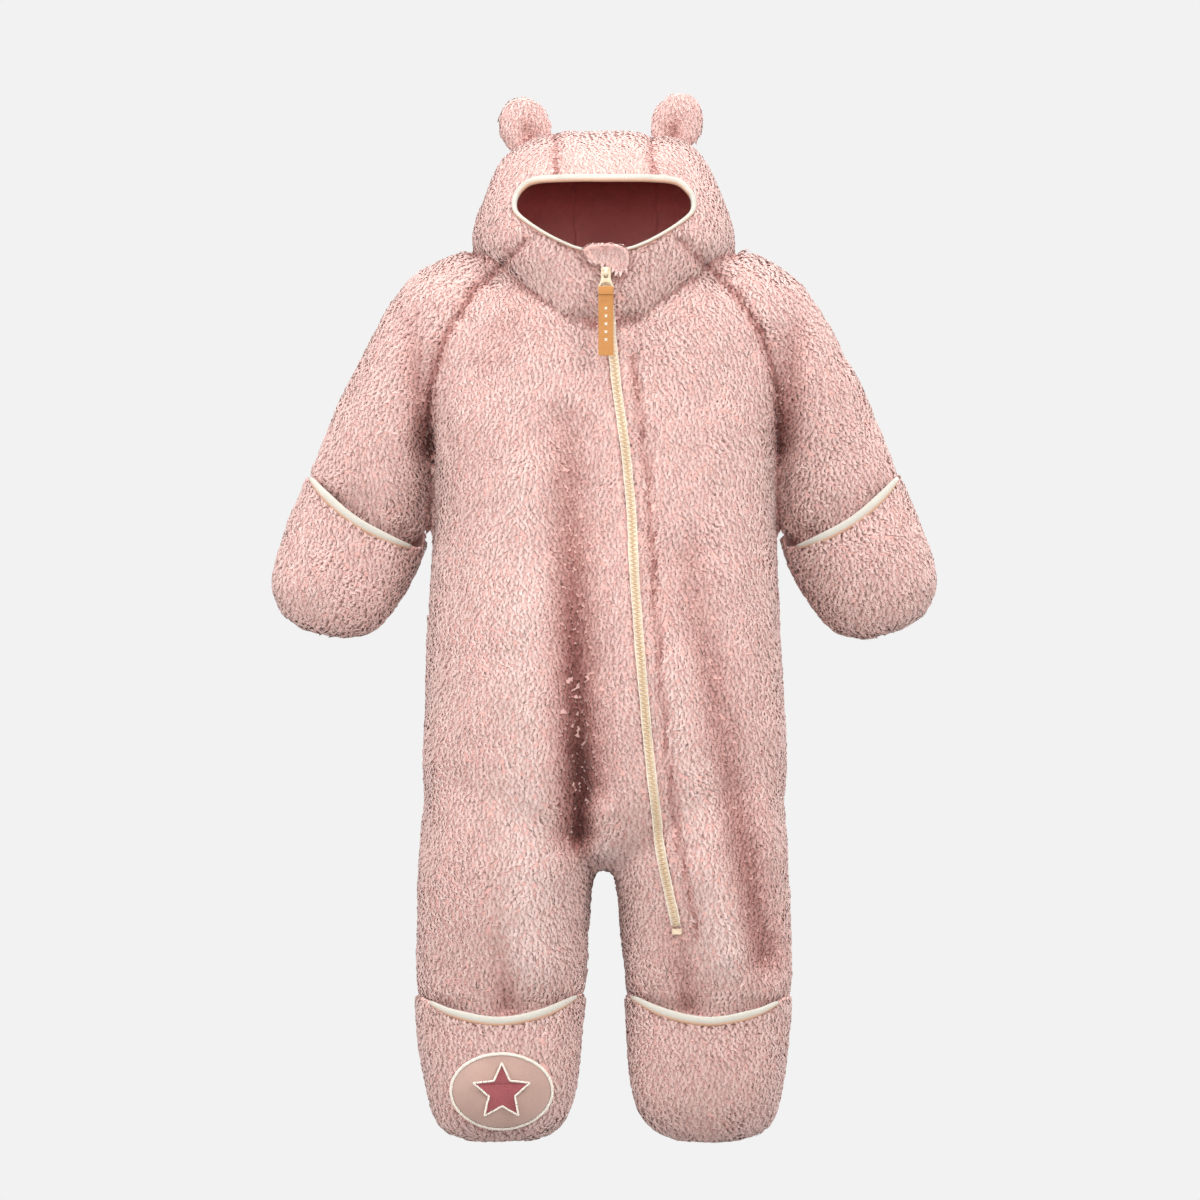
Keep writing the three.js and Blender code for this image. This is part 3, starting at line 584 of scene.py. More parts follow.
def colour_ramp(tree, factor, stops):
    node = add_node(tree, "ShaderNodeValToRGB", {0: factor})
    elements = node.color_ramp.elements
    while len(elements) < len(stops):
        elements.new(0.5)
    for element, (place, colour) in zip(elements, stops):
        element.position = place
        element.color = (*linear(colour), 1)
    return node.outputs["Color"]


def linear(colour):
    """A screen colour, 0 to 255, as linear values."""
    return tuple((c / 255 / 12.92) if c <= 10 else ((c / 255 + 0.055) / 1.055) ** 2.4 for c in colour)


def group_tree(name, inputs, outputs):
    """A shader node group with its sockets, and its input and output nodes."""
    tree = bpy.data.node_groups.new(name, "ShaderNodeTree")
    for direction, sockets in (("INPUT", inputs), ("OUTPUT", outputs)):
        for label, kind, value in sockets:
            socket = tree.interface.new_socket(label, in_out=direction, socket_type="NodeSocket" + kind)
            if value is not None:
                socket.default_value = value
    return tree, tree.nodes.new("NodeGroupInput"), tree.nodes.new("NodeGroupOutput")


def weave_group():
    """Threads over and under each other, from Object coordinates: a height and a thread mask."""
    tree, start, end = group_tree("weave", [("Threads per metre", "Float", 1800.0)],
                                  [("Height", "Float", None), ("Thread", "Float", None)])
    place = scaled_place(tree, object_place(tree), start.outputs[0])
    apart = add_node(tree, "ShaderNodeSeparateXYZ", {0: place})
    waves = [maths(tree, "ABSOLUTE", maths(tree, "SINE", apart.outputs[axis])) for axis in ("X", "Z")]
    tree.links.new(maths(tree, "MAXIMUM", *waves), end.inputs["Height"])
    tree.links.new(noise_of(tree, place, 0.35, 3.0), end.inputs["Thread"])
    return tree


def use_group(tree, group, **values):
    node = tree.nodes.new("ShaderNodeGroup")
    node.node_tree = group
    set_inputs(node, **values)
    return node


def bumped(tree, shader, height, strength, distance):
    bump = add_node(tree, "ShaderNodeBump", {"Height": height}, Strength=strength, Distance=distance)
    tree.links.new(bump.outputs["Normal"], shader.inputs["Normal"])
    return bump


def pile_material():
    """Brushed polyester pile, fine hairs along each lock: painted shade at roots, folds and seams; painted
    light on tips and ridges.
    """
    made, tree, shader = nodes_of("teddy_pile")
    tip = attribute(tree, "tip")
    streak = noise_of(tree, attribute(tree, "hair", "Vector"), 5.0, 2.0)
    # paler towards the tip: painted shade down at the root between the locks and a painted highlight at the
    # tip
    pale = maths(tree, "MULTIPLY_ADD", streak, tip, scaled_sum(tree, tip, TIP_PAINTED_LIGHT))
    for value, weight in (
        (attribute(tree, "lock"), LOCK_UNEVEN),
        (noise_of(tree, object_place(tree), 14.0, 2.0), CLOUDS),
        # painted shade down folds, seams and creases, and painted light on ridges
        (attribute(tree, "painted_shading"), -PAINTED_SHADING_STRENGTH),
    ):
        pale = scaled_sum(tree, value, weight, pale)
    colour = colour_ramp(tree, scaled_sum(tree, pale, 0.5, 0.33), PILE_COLOURS)
    tree.links.new(colour, shader.inputs["Base Color"])
    set_inputs(shader, Roughness=0.82, Sheen_Weight=0.5, Sheen_Roughness=0.45, Sheen_Tint=(1, 0.86, 0.83, 1),
               Specular_IOR_Level=0.25)
    world = add_node(tree, "ShaderNodeVectorTransform", {0: attribute(tree, "skin", "Vector")},
                     vector_type="NORMAL", convert_from="OBJECT", convert_to="WORLD")
    own = add_node(tree, "ShaderNodeNewGeometry").outputs["Normal"]
    mixed = add_node(tree, "ShaderNodeMix", {4: world.outputs[0], 5: own}, data_type="VECTOR")
    mixed.inputs[0].default_value = PILE_OWN_NORMAL
    level = add_node(tree, "ShaderNodeVectorMath", {0: mixed.outputs[1]}, operation="NORMALIZE")
    bump = add_node(tree, "ShaderNodeBump", {"Height": streak, "Normal": level.outputs[0]}, Strength=0.5,
                    Distance=0.0005)
    tree.links.new(bump.outputs["Normal"], shader.inputs["Normal"])
    return made


def cloth_material(name, low, high, threads, roughness, sheen=0.3, strength=0.6, height=0.0002, edge=None,
                   crumple=0, painted_shade=None):
    """Woven or knitted cloth in two near colours, with its weave in relief.

    edge is the colour of one border, from the "across" attribute. crumple is the height of small
    wrinkles in metres. The last argument is two heights between which the cloth fades into a painted shade,
    and that shade's colour.
    """
    made, tree, shader = nodes_of(name)
    weave = use_group(tree, WEAVE, Threads_per_metre=threads)
    place = object_place(tree)
    drift = noise_of(tree, place, 30.0, 4.0)
    both = maths(tree, "ADD", weave.outputs["Thread"], drift)
    colour = colour_ramp(tree, scaled_sum(tree, both, 0.5), [(0.35, low), (0.65, high)])
    if edge:
        colour = faded(tree, colour, attribute(tree, "across"), 0.2, 0.5, edge)
    if painted_shade:
        colour = faded(tree, colour, add_node(tree, "ShaderNodeSeparateXYZ", {0: place}).outputs["Z"], *painted_shade)
    tree.links.new(colour, shader.inputs["Base Color"])
    set_inputs(shader, Roughness=roughness, Sheen_Weight=sheen, Specular_IOR_Level=0.3)
    weave_bump = bumped(tree, shader, weave.outputs["Height"], strength, height)
    if crumple:
        folds = noise_of(tree, place, 70.0, 3.0, Distortion=1.4)
        waves = add_node(tree, "ShaderNodeBump", {"Height": folds}, Strength=0.8, Distance=crumple)
        tree.links.new(waves.outputs["Normal"], weave_bump.inputs["Normal"])
    return made


def faded(tree, colour, value, start, end, towards):
    """A colour that turns into another while a value goes from start to end."""
    part = add_node(tree, "ShaderNodeMapRange", {0: value}, From_Min=start, From_Max=end)
    mix = add_node(tree, "ShaderNodeMix", {0: part.outputs[0], 6: colour}, data_type="RGBA")
    mix.inputs[7].default_value = (*linear(towards), 1)
    return mix.outputs[2]


def lacquer_material():
    made, tree, shader = nodes_of("cream_lacquer")
    cloud = noise_of(tree, object_place(tree), 300.0, 2.0)
    colour = colour_ramp(tree, cloud, [(0.3, (210, 190, 160)), (0.7, (222, 204, 178))])
    tree.links.new(colour, shader.inputs["Base Color"])
    set_inputs(shader, Roughness=0.28, Coat_Weight=0.4)
    bumped(tree, shader, cloud, 0.15, 0.0001)
    return made


# What makes a lock paler or darker: its tip, as painted shade at the root and painted light at the tip,
# the lock's own chance, slow clouds, and a fold's depth, as painted shade in folds and seams and painted
# light on ridges
TIP_PAINTED_LIGHT = 0.2
LOCK_UNEVEN = 0.22
CLOUDS = 0.30
PAINTED_SHADING_STRENGTH = 1.6

# Colours on screen, 0 to 255
PILE_OWN_NORMAL = 0.5  # share of a lock's own facing in its shading; the rest is the cloth's
# the darkest stops are painted shade, reached at the roots and down folds and seams; the palest are the tips'
# painted highlight
PILE_COLOURS = [(0.0, (100, 54, 48)), (0.2, (152, 98, 92)), (0.4, (187, 140, 133)), (0.6, (210, 171, 164)),
                (0.85, (227, 199, 193))]
WEAVE = weave_group()
PILE_FINISH = pile_material()
KNIT = cloth_material("pink_knit_backing", (222, 174, 166), (238, 194, 186), 2600.0, 0.9)
BINDING_CLOTH = cloth_material("cream_binding", (182, 178, 168), (192, 189, 180), 3400.0, 0.75, 0.1,
                               edge=(206, 164, 138))
# The lining fades into painted shade near the top of the hood, under the face opening's rim.
LINING_CLOTH = cloth_material("maroon_lining", (228, 146, 142), (240, 160, 154), 3800.0, 0.8, 0.15,
                              crumple=0.0025, painted_shade=(0.038, 0.058, (158, 70, 66)))
ZIP_TAPE = cloth_material("cream_zip_tape", (214, 198, 176), (226, 212, 192), 4200.0, 0.8)
ZIP_TEETH = cloth_material("tan_zip_teeth", (204, 174, 136), (220, 194, 160), 9000.0, 0.45, 0.0, 0.2)
TAPE_CLOTH = cloth_material("mustard_tape", (176, 118, 60), (194, 138, 80), 3000.0, 0.7)
THREAD = cloth_material("cream_thread", (244, 236, 222), (252, 247, 238), 9000.0, 0.6, 0.2)
GOLD_THREAD = cloth_material("mustard_thread", (176, 112, 44), (200, 136, 62), 9000.0, 0.6, 0.2)
SATIN = cloth_material("mauve_satin", (170, 138, 128), (196, 164, 152), 5200.0, 0.38, 0.5, 0.25, 0.0001)
FELT = cloth_material("maroon_felt", (140, 66, 72), (162, 88, 92), 2400.0, 0.9)
LACQUER = lacquer_material()


# Pile

def lock_shape(name, seed, collection):
    """One tuft of pile: it rises from the backing, then bends over and tapers to its tip."""
    rng = random.Random(seed)
    bm = bmesh.new()
    tip = bm.verts.layers.float.new("tip")
    hair = bm.verts.layers.float_vector.new("hair")
    wave = rng.uniform(-0.7, 0.7)
    rise = rng.uniform(0.9, 1.1)
    root, bend = Vector((0, 0, LOCK_ROOT)), Vector((0.4 * wave, 2.3, 2.1 * rise))
    ring = bmesh.ops.create_circle(bm, segments=3, radius=LOCK_WIDE / 2)["verts"]
    for i, v in enumerate(ring):
        v.co.y *= 0.55
        v.co.z = LOCK_ROOT
        v[hair] = Vector((i / 3 * 6, 0, seed))
    made = bmesh.ops.extrude_edge_only(bm, edges=list(bm.edges))["geom"]
    bent = made_of(made, bmesh.types.BMVert)
    for v in bent:
        below = min(ring, key=lambda u: (u.co - v.co).length)
        v[tip] = 0.6
        v[hair] = Vector((below[hair].x, 0.6 * 1.2, seed))
    for v in bent:
        v.co = (v.co - root) * 1.05 + bend
    edges = [e for e in made_of(made, bmesh.types.BMEdge) if set(bent).issuperset(e.verts)]
    ends = made_of(bmesh.ops.extrude_edge_only(bm, edges=edges)["geom"], bmesh.types.BMVert)
    for v in ends:
        v.co = Vector((1.1 * wave, LOCK_LONG * rng.uniform(0.88, 1.1), 1.2 * rise))
        v[tip] = 1
        v[hair] = Vector((1, 1.2, seed))
    bmesh.ops.remove_doubles(bm, verts=ends, dist=0.001)
    bmesh.ops.holes_fill(bm, edges=[e for e in bm.edges if e.is_boundary], sides=3)
    bmesh.ops.recalc_face_normals(bm, faces=bm.faces)
    bmesh.ops.scale(bm, vec=(MM, MM, MM), verts=bm.verts)
    smoothed(bm.faces)
    obj = bpy.data.objects.new(name, bpy.data.meshes.new(name))
    put_back(bm, obj)
    obj.data.materials.append(PILE_FINISH)
    collection.objects.link(obj)


def pile_nodes(locks):
    """Geometry nodes that plant locks over a surface, lean them along its comb and realize them."""
    tree = bpy.data.node_groups.new("plant_pile", "GeometryNodeTree")
    for label, way, kind in (("Geometry", "INPUT", "Geometry"), ("Gap", "INPUT", "Float"),
                             ("Seed", "INPUT", "Int"), ("Geometry", "OUTPUT", "Geometry")):
        tree.interface.new_socket(label, in_out=way, socket_type="NodeSocket" + kind)
    start, end = tree.nodes.new("NodeGroupInput"), tree.nodes.new("NodeGroupOutput")

    def named(label, kind):
        node = add_node(tree, "GeometryNodeInputNamedAttribute", data_type=kind, Name=label)
        return node.outputs["Attribute"]

    def spread(low, high, seed):
        node = add_node(tree, "FunctionNodeRandomValue", data_type="FLOAT")
        for label, value in (("Min", low), ("Max", high), ("Seed", seed)):
            next(s for s in node.inputs if s.enabled and s.name == label).default_value = value
        return next(s for s in node.outputs if s.enabled)

    plant = add_node(tree, "GeometryNodeDistributePointsOnFaces", distribute_method="POISSON")
    set_inputs(plant, Density_Max=400000)
    for key, source in (("Mesh", start.outputs["Geometry"]), ("Distance Min", start.outputs["Gap"]),
                        ("Density Factor", named("cover", "FLOAT")), ("Seed", start.outputs["Seed"])):
        tree.links.new(source, plant.inputs[key])
    lean = add_node(tree, "FunctionNodeAlignRotationToVector",
                    {"Rotation": plant.outputs["Rotation"], "Vector": named("comb", "FLOAT_VECTOR")},
                    axis="Y", pivot_axis="Z")
    turn = add_node(tree, "FunctionNodeAxisAngleToRotation", {"Angle": spread(-0.5, 0.5, 3)}, Axis=(0, 0, 1))
    turned = add_node(tree, "FunctionNodeRotateRotation",
                      {"Rotation": lean.outputs["Rotation"], "Rotate By": turn.outputs["Rotation"]},
                      rotation_space="LOCAL")
    long = named("long", "FLOAT")
    flat = scaled_sum(tree, long, 0.35, 0.65)
    axes = add_node(tree, "ShaderNodeCombineXYZ", {0: flat, 1: flat, 2: long})
    tall = scaled_place(tree, axes.outputs[0], spread(0.75, 1.12, 5))
    pick = add_node(tree, "GeometryNodeCollectionInfo", Collection=locks, Separate_Children=True,
                    Reset_Children=True)
    plot = add_node(tree, "GeometryNodeInstanceOnPoints",
                    {"Points": plant.outputs["Points"], "Instance": pick.outputs["Instances"],
                     "Rotation": turned.outputs["Rotation"], "Scale": tall}, Pick_Instance=True)
    store = add_node(tree, "GeometryNodeStoreNamedAttribute",
                     {"Geometry": plot.outputs["Instances"], "Value": spread(0, 1, 7)},
                     data_type="FLOAT", domain="INSTANCE", Name="lock")
    real = add_node(tree, "GeometryNodeRealizeInstances", {"Geometry": store.outputs["Geometry"]})
    tree.links.new(real.outputs["Geometry"], end.inputs["Geometry"])
    return tree


def comb_at(p, n, flow):
    """The way the pile lies at a point: down its panel's flow, with slow swirls."""
    swirl = noise.noise_vector(p / 34) * 0.9 + noise.noise_vector(p / 12 + Vector((9, 0, 0))) * 0.45
    way = flow + swirl
    way -= n * way.dot(n)
    return way.normalized() if way.length > 0.01 else Vector((1, 0, 0))


def belongs(obj, body_name, node=None):
    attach(obj, body_name)
    if node:
        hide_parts(node)
    return obj


def dress(name, surface, flow, cover, seed, gap=LOCK_GAP, long=None, painted_shading=None):
    """Pile planted on a copy of a surface. flow gives its way, cover and long its measures, and the last one
    its painted shade and light.
    """
    mesh = surface.data.copy()
    obj = bpy.data.objects.new(name, mesh)
    bpy.context.scene.collection.objects.link(obj)
    labels = {"comb": "FLOAT_VECTOR", "skin": "FLOAT_VECTOR", "cover": "FLOAT", "long": "FLOAT",
              "painted_shading": "FLOAT"}
    for label, kind in labels.items():
        mesh.attributes.new(label, kind, "POINT")
    comb, skin, thick, tall, painted_shade = (mesh.attributes[label].data for label in labels)
    for i, v in enumerate(mesh.vertices):
        p = v.co / MM
        comb[i].vector = comb_at(p, v.normal, flow(p) if callable(flow) else flow)
        skin[i].vector = v.normal
        thick[i].value = cover(p, v.normal)
        tall[i].value = long(p, v.normal) if long else 1
        painted_shade[i].value = painted_shading(p, v.normal) if painted_shading else 0
    plant = obj.modifiers.new("pile", "NODES")
    plant.node_group = PILE_NODES
    inputs = {s.name: s.identifier for s in PILE_NODES.interface.items_tree if s.in_out == "INPUT"}
    plant[inputs["Gap"]] = gap * MM
    plant[inputs["Seed"]] = seed
    evaluated(obj)
    for spent in ("comb", "cover", "long"):
        obj.data.attributes.remove(obj.data.attributes[spent])
    obj.visible_shadow = False  # light passes through fine pile, and the cloth below it casts its shade
    return belongs(obj, GARMENT)


def spans(obj):
    """The lowest and highest corner of a mesh."""
    lows = [min(v.co[k] for v in obj.data.vertices) for k in range(3)]
    highs = [max(v.co[k] for v in obj.data.vertices) for k in range(3)]
    return Vector(lows), Vector(highs)


def cut_size(obj, area):
    """A cut's width and length, from how far the cloth reaches up and round."""
    low, high = spans(obj)
    tall = high.z - low.z
    wide = max(area / tall, 0.6 * math.hypot(high.x - low.x, high.y - low.y))
    while area > 0.98 * wide * tall:
        tall *= 1.05
        wide *= 1.02
    while area < 0.32 * wide * tall:
        wide *= 0.95
    return wide, tall


def finish_cloth(obj, node, finish, thickness):
    """Gives a surface its thickness and finish, in place of its node."""
    for p in obj.data.polygons:
        p.use_smooth = True
    obj.data.materials.append(finish)
    area = sum(p.area for p in obj.data.polygons)
    wide, long = cut_size(obj, area)
    wall = obj.modifiers.new("thickness", "SOLIDIFY")
    wall.thickness = thickness * MM
    wall.offset = -1
    belongs(obj, GARMENT, node)


locks = bpy.data.collections.new("locks")
for number in range(LOCK_KINDS):
    lock_shape(f"lock_{number}", number + 11, locks)
PILE_NODES = pile_nodes(locks)


# Camera, light and stage

def set_stage():
    """The photograph's camera, a plain pale floor and backdrop, and soft studio light."""
    lens = bpy.data.cameras.new("camera")
    lens.lens = lens.sensor_width * CAMERA_AWAY / (IMAGE * PIXEL * MM)
    camera = bpy.data.objects.new("camera", lens)
    aside, up = IMAGE / 2 - ORIGIN_PX[0], ORIGIN_PX[1] - IMAGE / 2
    camera.location = (aside * PIXEL * MM, -CAMERA_AWAY, up * PIXEL * MM)
    camera.rotation_euler = (math.pi / 2, 0, 0)
    bpy.context.scene.collection.objects.link(camera)
    bpy.context.scene.camera = camera
    bpy.context.scene.view_settings.view_transform = "Standard"
    world = bpy.data.worlds.new("studio")
    bpy.context.scene.world = world
    world.use_nodes = True
    tree = world.node_tree
    seen = tree.nodes["Background"]
    seen.inputs["Color"].default_value = (*PAPER, 1)
    lit = add_node(tree, "ShaderNodeBackground", Strength=AMBIENT)
    lit.inputs["Color"].default_value = (1, 0.97, 0.95, 1)
    path = add_node(tree, "ShaderNodeLightPath")
    mix = add_node(tree, "ShaderNodeMixShader",
                   {0: path.outputs["Is Camera Ray"], 1: lit.outputs[0], 2: seen.outputs[0]})
    tree.links.new(mix.outputs[0], tree.nodes["World Output"].inputs["Surface"])
    for name, place, size, power in LIGHTS:
        light = bpy.data.lights.new(name, "AREA")
        light.shape = "DISK"
        light.size = size
        light.energy = power
        lamp = bpy.data.objects.new(name, light)
        lamp.location = place
        lamp.rotation_euler = (Vector(LIT_POINT) - Vector(place)).to_track_quat("-Z", "Y").to_euler()
        bpy.context.scene.collection.objects.link(lamp)
    bm = bmesh.new()
    bmesh.ops.create_grid(bm, x_segments=1, y_segments=1, size=4)
    bmesh.ops.translate(bm, verts=bm.verts, vec=(0, 0, FLOOR * MM))
    floor = mesh_object("floor", bm)
    made, tree, shader = nodes_of("pale_floor")
    set_inputs(shader, Base_Color=(0, 0, 0, 1), Specular_IOR_Level=0, Emission_Color=(*PAPER, 1),
               Emission_Strength=1)
    floor.data.materials.append(made)
    floor.visible_diffuse = floor.visible_glossy = floor.visible_shadow = False


set_stage()


def line_z(ends, x):
    """The height of a straight line at x."""
    (x1, z1), (x2, z2) = ends
    return z1 + (z2 - z1) * (x - x1) / (x2 - x1)


def beyond_cuff(p):
    """Whether a point of a sleeve lies past the hem inside its mitt."""
    return in_sleeve(p) and abs(p.x) > 118 and p.z < line_z(CUFF, abs(p.x)) + 6


# The body: torso, hood, legs and sleeves in one skin, cut into its panels

def always(p, n):
    return 1


def cover_body(p, n):
    """Where pile grows on the body: not under the zip, the bindings or inside the pouches."""
    if n.y < 0.2 and p.y < 0 and p.z < ZIP_TOP and p.z > ZIP_END - 4:
        away = from_zip(p)
        if away < 2.6:
            return 0
    if by_guard(p) and inside(GUARD_CURVE, p.x, p.z):
        return 0
    if p.z < -470 and p.y < 5 and p.z < ramp(FOOT_EDGE, abs(p.x)) - 8:
        return 0
    if p.y >= 5 and p.z < FOOT_SEAM - 3:
        return 0
    if in_sleeve(p) and p.z > -260:
        if p.y < MITT_MIDDLE and p.z < ramp(MITT_EDGE, abs(p.x)) - 10:
            return 0
        if p.y >= MITT_MIDDLE and p.z < line_z(MITT_SEAM, abs(p.x)) - 3:
            return 0
    return 1


def by_guard(p):
    return p.y < 0 and abs(p.x) < 22 and -16 < p.z < 18


def seam_near(p):
    """How close a point is to a seam of the body, from 0 to 1 on it."""
    near = 0
    if abs(p.x) > 40 and -215 < p.z < 15:
        near = max(near, bell(near_line(RAGLAN_SEAM, abs(p.x), p.z)[0], 2.6))
    if -60 < p.z < 20 and abs(p.x) < SHOULDER[0] + 6:
        near = max(near, bell(p.z - ramp(NECK_CURVE, p.y), 3))
    if in_hood(p) and not (p.y < 0 and p.z < BROW):
        near = max(near, bell(abs(p.x) - HOOD_SEAM, 2.2))
    return near


def body_painted_shading(p, n):
    """Painted shade and light for the body's pile, from how far a point lies down a fold or a seam."""
    in_front = n.y < -0.35 or (n.y < 0.35 and p.y < 0)
    facing = 1 if abs(p.x) < 45 and p.z > -405 else min(1, 2.4 * abs(n.y))
    # painted shade in a fold's valley and painted light on its ridge
    fold = 0 if in_hood(p) else fold_depth(p.x, p.z, -1 if in_front else 1) * facing / 20
    # painted shade along the seam stitched beside the zip
    stitched = 0
    if n.y < 0 and p.y < 0 and ZIP_END < p.z < -60 and p.x > zip_x(p.z):
        stitched = 0.6 * bell(from_zip(p) - ZIP_SEAM, 2.2)
    # painted shade round the chin guard's edge
    edge = 0.5 * bell(near_line(pairs(GUARD_CURVE), p.x, p.z)[0], 2.5) if by_guard(p) else 0
    # painted shade along the raglan, neck and hood seams as well
    return min(max(fold, -0.35), 1) + 0.55 * seam_near(p) + stitched + edge


def long_body(p, n):
    """Shorter pile where it is pressed flat along the zip and at the seams."""
    if n.y < 0.2 and p.y < 0 and -470 < p.z < 0:
        away = from_zip(p)
        return 0.55 + 0.45 * min(max((away - 6) / 8, 0), 1)
    return (1 - 0.35 * min(max((p.z - 20) / 40, 0), 1)) * (1 - 0.4 * seam_near(p))


def body_flow(p):
    if in_sleeve(p) and not in_hood(p):
        return Vector((math.copysign(0.5, p.x), 0, -0.85))
    if in_hood(p) and p.z > 50:
        return Vector((p.x / 60, -0.9 if p.y < 20 else 0.6, -0.6))
    return DOWN


body = fused("body_skin", [
    (TORSO, 1, 64, 44, PILE, 2.5),
    (HOOD, 1, 56, 40, PILE, 2.25),
    (LEG, -1, 40, 30, PILE, 2.4),
    (LEG, 1, 40, 30, PILE, 2.4),
    (SLEEVE, -1, 36, 34, PILE, 2.3),
    (SLEEVE, 1, 36, 34, PILE, 2.3),
], VOXEL, 6)
shape_body(body)
body_tree = tree_of(body)
for order, (panel, cloth) in enumerate(split_panels(body).items()):
    bm = opened(cloth)
    hidden = []
    for f in bm.faces:
        p = f.calc_center_median() / MM
        if (p.z < LEG_HEM and abs(p.x) < LEG_SIDE) or beyond_cuff(p):
            hidden.append(f)
    bmesh.ops.delete(bm, geom=hidden, context="FACES")
    put_back(bm, cloth)
    pile = dress(panel + "_pile", cloth, body_flow, cover_body, order + 1, long=long_body, painted_shading=body_painted_shading)
    finish_cloth(cloth, panel, KNIT, BACKING)
bpy.data.objects.remove(body)


# Pouches at the hands and feet: a front that folds over and a back

def laid_patch(outline, tree, lift, crown, rings, step):
    """A flat shape laid on a skin, thicker in the middle: its outline inset in rings."""
    bm = bmesh.new()
    verts = bmesh.ops.create_circle(bm, segments=len(outline), radius=1, cap_ends=True)["verts"]
    for v, p in zip(verts, outline):
        v.co = Vector((p.x, 0, p.y))
    level = {v: 0 for v in bm.verts}
    for ring in range(rings):
        middle = max(bm.faces, key=lambda f: len(f.verts))
        bmesh.ops.inset_region(bm, faces=[middle], use_boundary=True, use_even_offset=True, thickness=step,
                               depth=0)
        for v in bm.verts:
            level.setdefault(v, ring + 1)
    bmesh.ops.triangulate(bm, faces=[max(bm.faces, key=lambda f: len(f.verts))])
    for v in bm.verts:
        rise = crown * (1 - (1 - min(level[v] / rings, 1)) ** 2)
        v.co = on_front(tree, v.co.x, v.co.z, lift + rise)[0]
    bmesh.ops.recalc_face_normals(bm, faces=bm.faces)
    if sum(f.normal.y for f in bm.faces) > 0:
        bmesh.ops.reverse_faces(bm, faces=bm.faces)
    return bm


def cut_faces(obj, name, keep):
    """A copy of a skin with only the faces whose centre passes keep."""
    bm = opened(obj)
    gone = [f for f in bm.faces if not keep(f.calc_center_median() / MM, f.normal)]
    bmesh.ops.delete(bm, geom=gone, context="FACES")
    keep_largest(bm)
    return mesh_object(name, bm)


def snap_edge(obj, line, side, front):
    """Moves the open upper edge of a pouch's front on to its edge line."""
    bm = opened(obj)
    for v in bm.verts:
        if v.is_boundary and (v.co.y / MM < front):
            away, place = near_line(line, v.co.x / MM * side, v.co.z / MM)
            if away < 7:
                v.co = Vector((place.x * side, v.co.y / MM, place.y)) * MM
    put_back(bm, obj)


def ripple_skin(obj, size):
    moved_to(obj, [v.co - v.normal * ripple(v.co / MM) * size * MM for v in obj.data.vertices])


def flap_width(points):
    """A flap's binding is widest in the middle and narrows to its ends."""
    low, high = points[0][0] / MM, points[-1][0] / MM

    def width(p):
        t = min(max((p - low).length / ((p - low).length + (p - high).length), 0), 1)
        return 3.0 + 3.8 * min(1, 5 * t * (1 - t))

    return width


def bound_strip(points, name, node, width, thick, finish=BINDING_CLOTH):
    """A binding folded over an edge: a flat rounded tube along places and normals.

    width is a length, or a function that gives it at a place.
    """
    bm = bmesh.new()
    low_edge = bm.verts.layers.float.new("across")
    verts = bmesh.ops.create_circle(bm, segments=10, radius=1)["verts"]
    base = [(v.co.x, v.co.y) for v in verts]
    edges = list(bm.edges)
    rng = random.Random(len(name))
    for i, (place, normal) in enumerate(points):
        ahead = points[min(i + 1, len(points) - 1)][0] - points[max(i - 1, 0)][0]
        normal = (normal + Vector((0, -0.8, 0))).normalized()
        along = ahead.normalized()
        across = along.cross(normal).normalized()
        up = across.cross(along).normalized()
        if i > 0:
            made = bmesh.ops.extrude_edge_only(bm, edges=edges)["geom"]
            fresh = set(made_of(made, bmesh.types.BMVert))
            joined = [(v, e.other_vert(v)) for v in fresh for e in v.link_edges]
            order = {v: numbers[other] for v, other in joined if other in numbers}
            verts = sorted(fresh, key=lambda v: order[v])
            edges = [e for e in made_of(made, bmesh.types.BMEdge) if fresh.issuperset(e.verts)]
        pinch = 1 + rng.uniform(-0.07, 0.07)
        wide = width(place / MM) if callable(width) else width
        for (a, b), v in zip(base, verts):
            flat = math.copysign(abs(b) ** 0.7, b)
            v.co = place + (across * a * wide / 2 + up * flat * thick / 2 * pinch) * MM
            v[low_edge] = -a * across.z if callable(width) else 0
        numbers = {v: k for k, v in enumerate(verts)}
    bmesh.ops.holes_fill(bm, edges=[e for e in bm.edges if e.is_boundary], sides=0)
    bmesh.ops.recalc_face_normals(bm, faces=bm.faces)
    for f in bm.faces:
        f.smooth = len(f.verts) == 4
    obj = mesh_object(name, bm)
    obj.data.materials.append(finish)
    return belongs(obj, GARMENT, node)


def stitch_row(name, points, size, finish, body_name):
    """Stitches along places and normals: short rounded bars joined in one mesh."""
    long, wide, high = size
    bars = []
    for (a, normal), (b, _) in zip(points, points[1:]):
        along = (b - a).normalized()
        side = normal.cross(along).normalized()
        up = along.cross(side)
        bars.append(((a + b) / 2, Matrix((along * long / 2, side * wide / 2, up * high / 2)).transposed()))
    sewn(name, bars, finish, body_name)


def sewn(name, bars, finish, body_name):
    """One mesh of small rounded bars, each a place and a matrix in millimetres, made in lots."""
    whole = bmesh.new()
    for start in range(0, len(bars), SEWN_LOT):
        lot = bmesh.new()
        for place, turn in bars[start:start + SEWN_LOT]:
            for v in bmesh.ops.create_uvsphere(lot, u_segments=6, v_segments=4, radius=1)["verts"]:
                v.co = place + turn @ v.co * MM
        bmesh.ops.recalc_face_normals(lot, faces=lot.faces)
        smoothed(lot.faces)
        mesh = bpy.data.meshes.new(name)
        lot.to_mesh(mesh)
        lot.free()
        whole.from_mesh(mesh)
        bpy.data.meshes.remove(mesh)
    obj = mesh_object(name, whole)
    obj.data.materials.append(finish)
    belongs(obj, body_name)


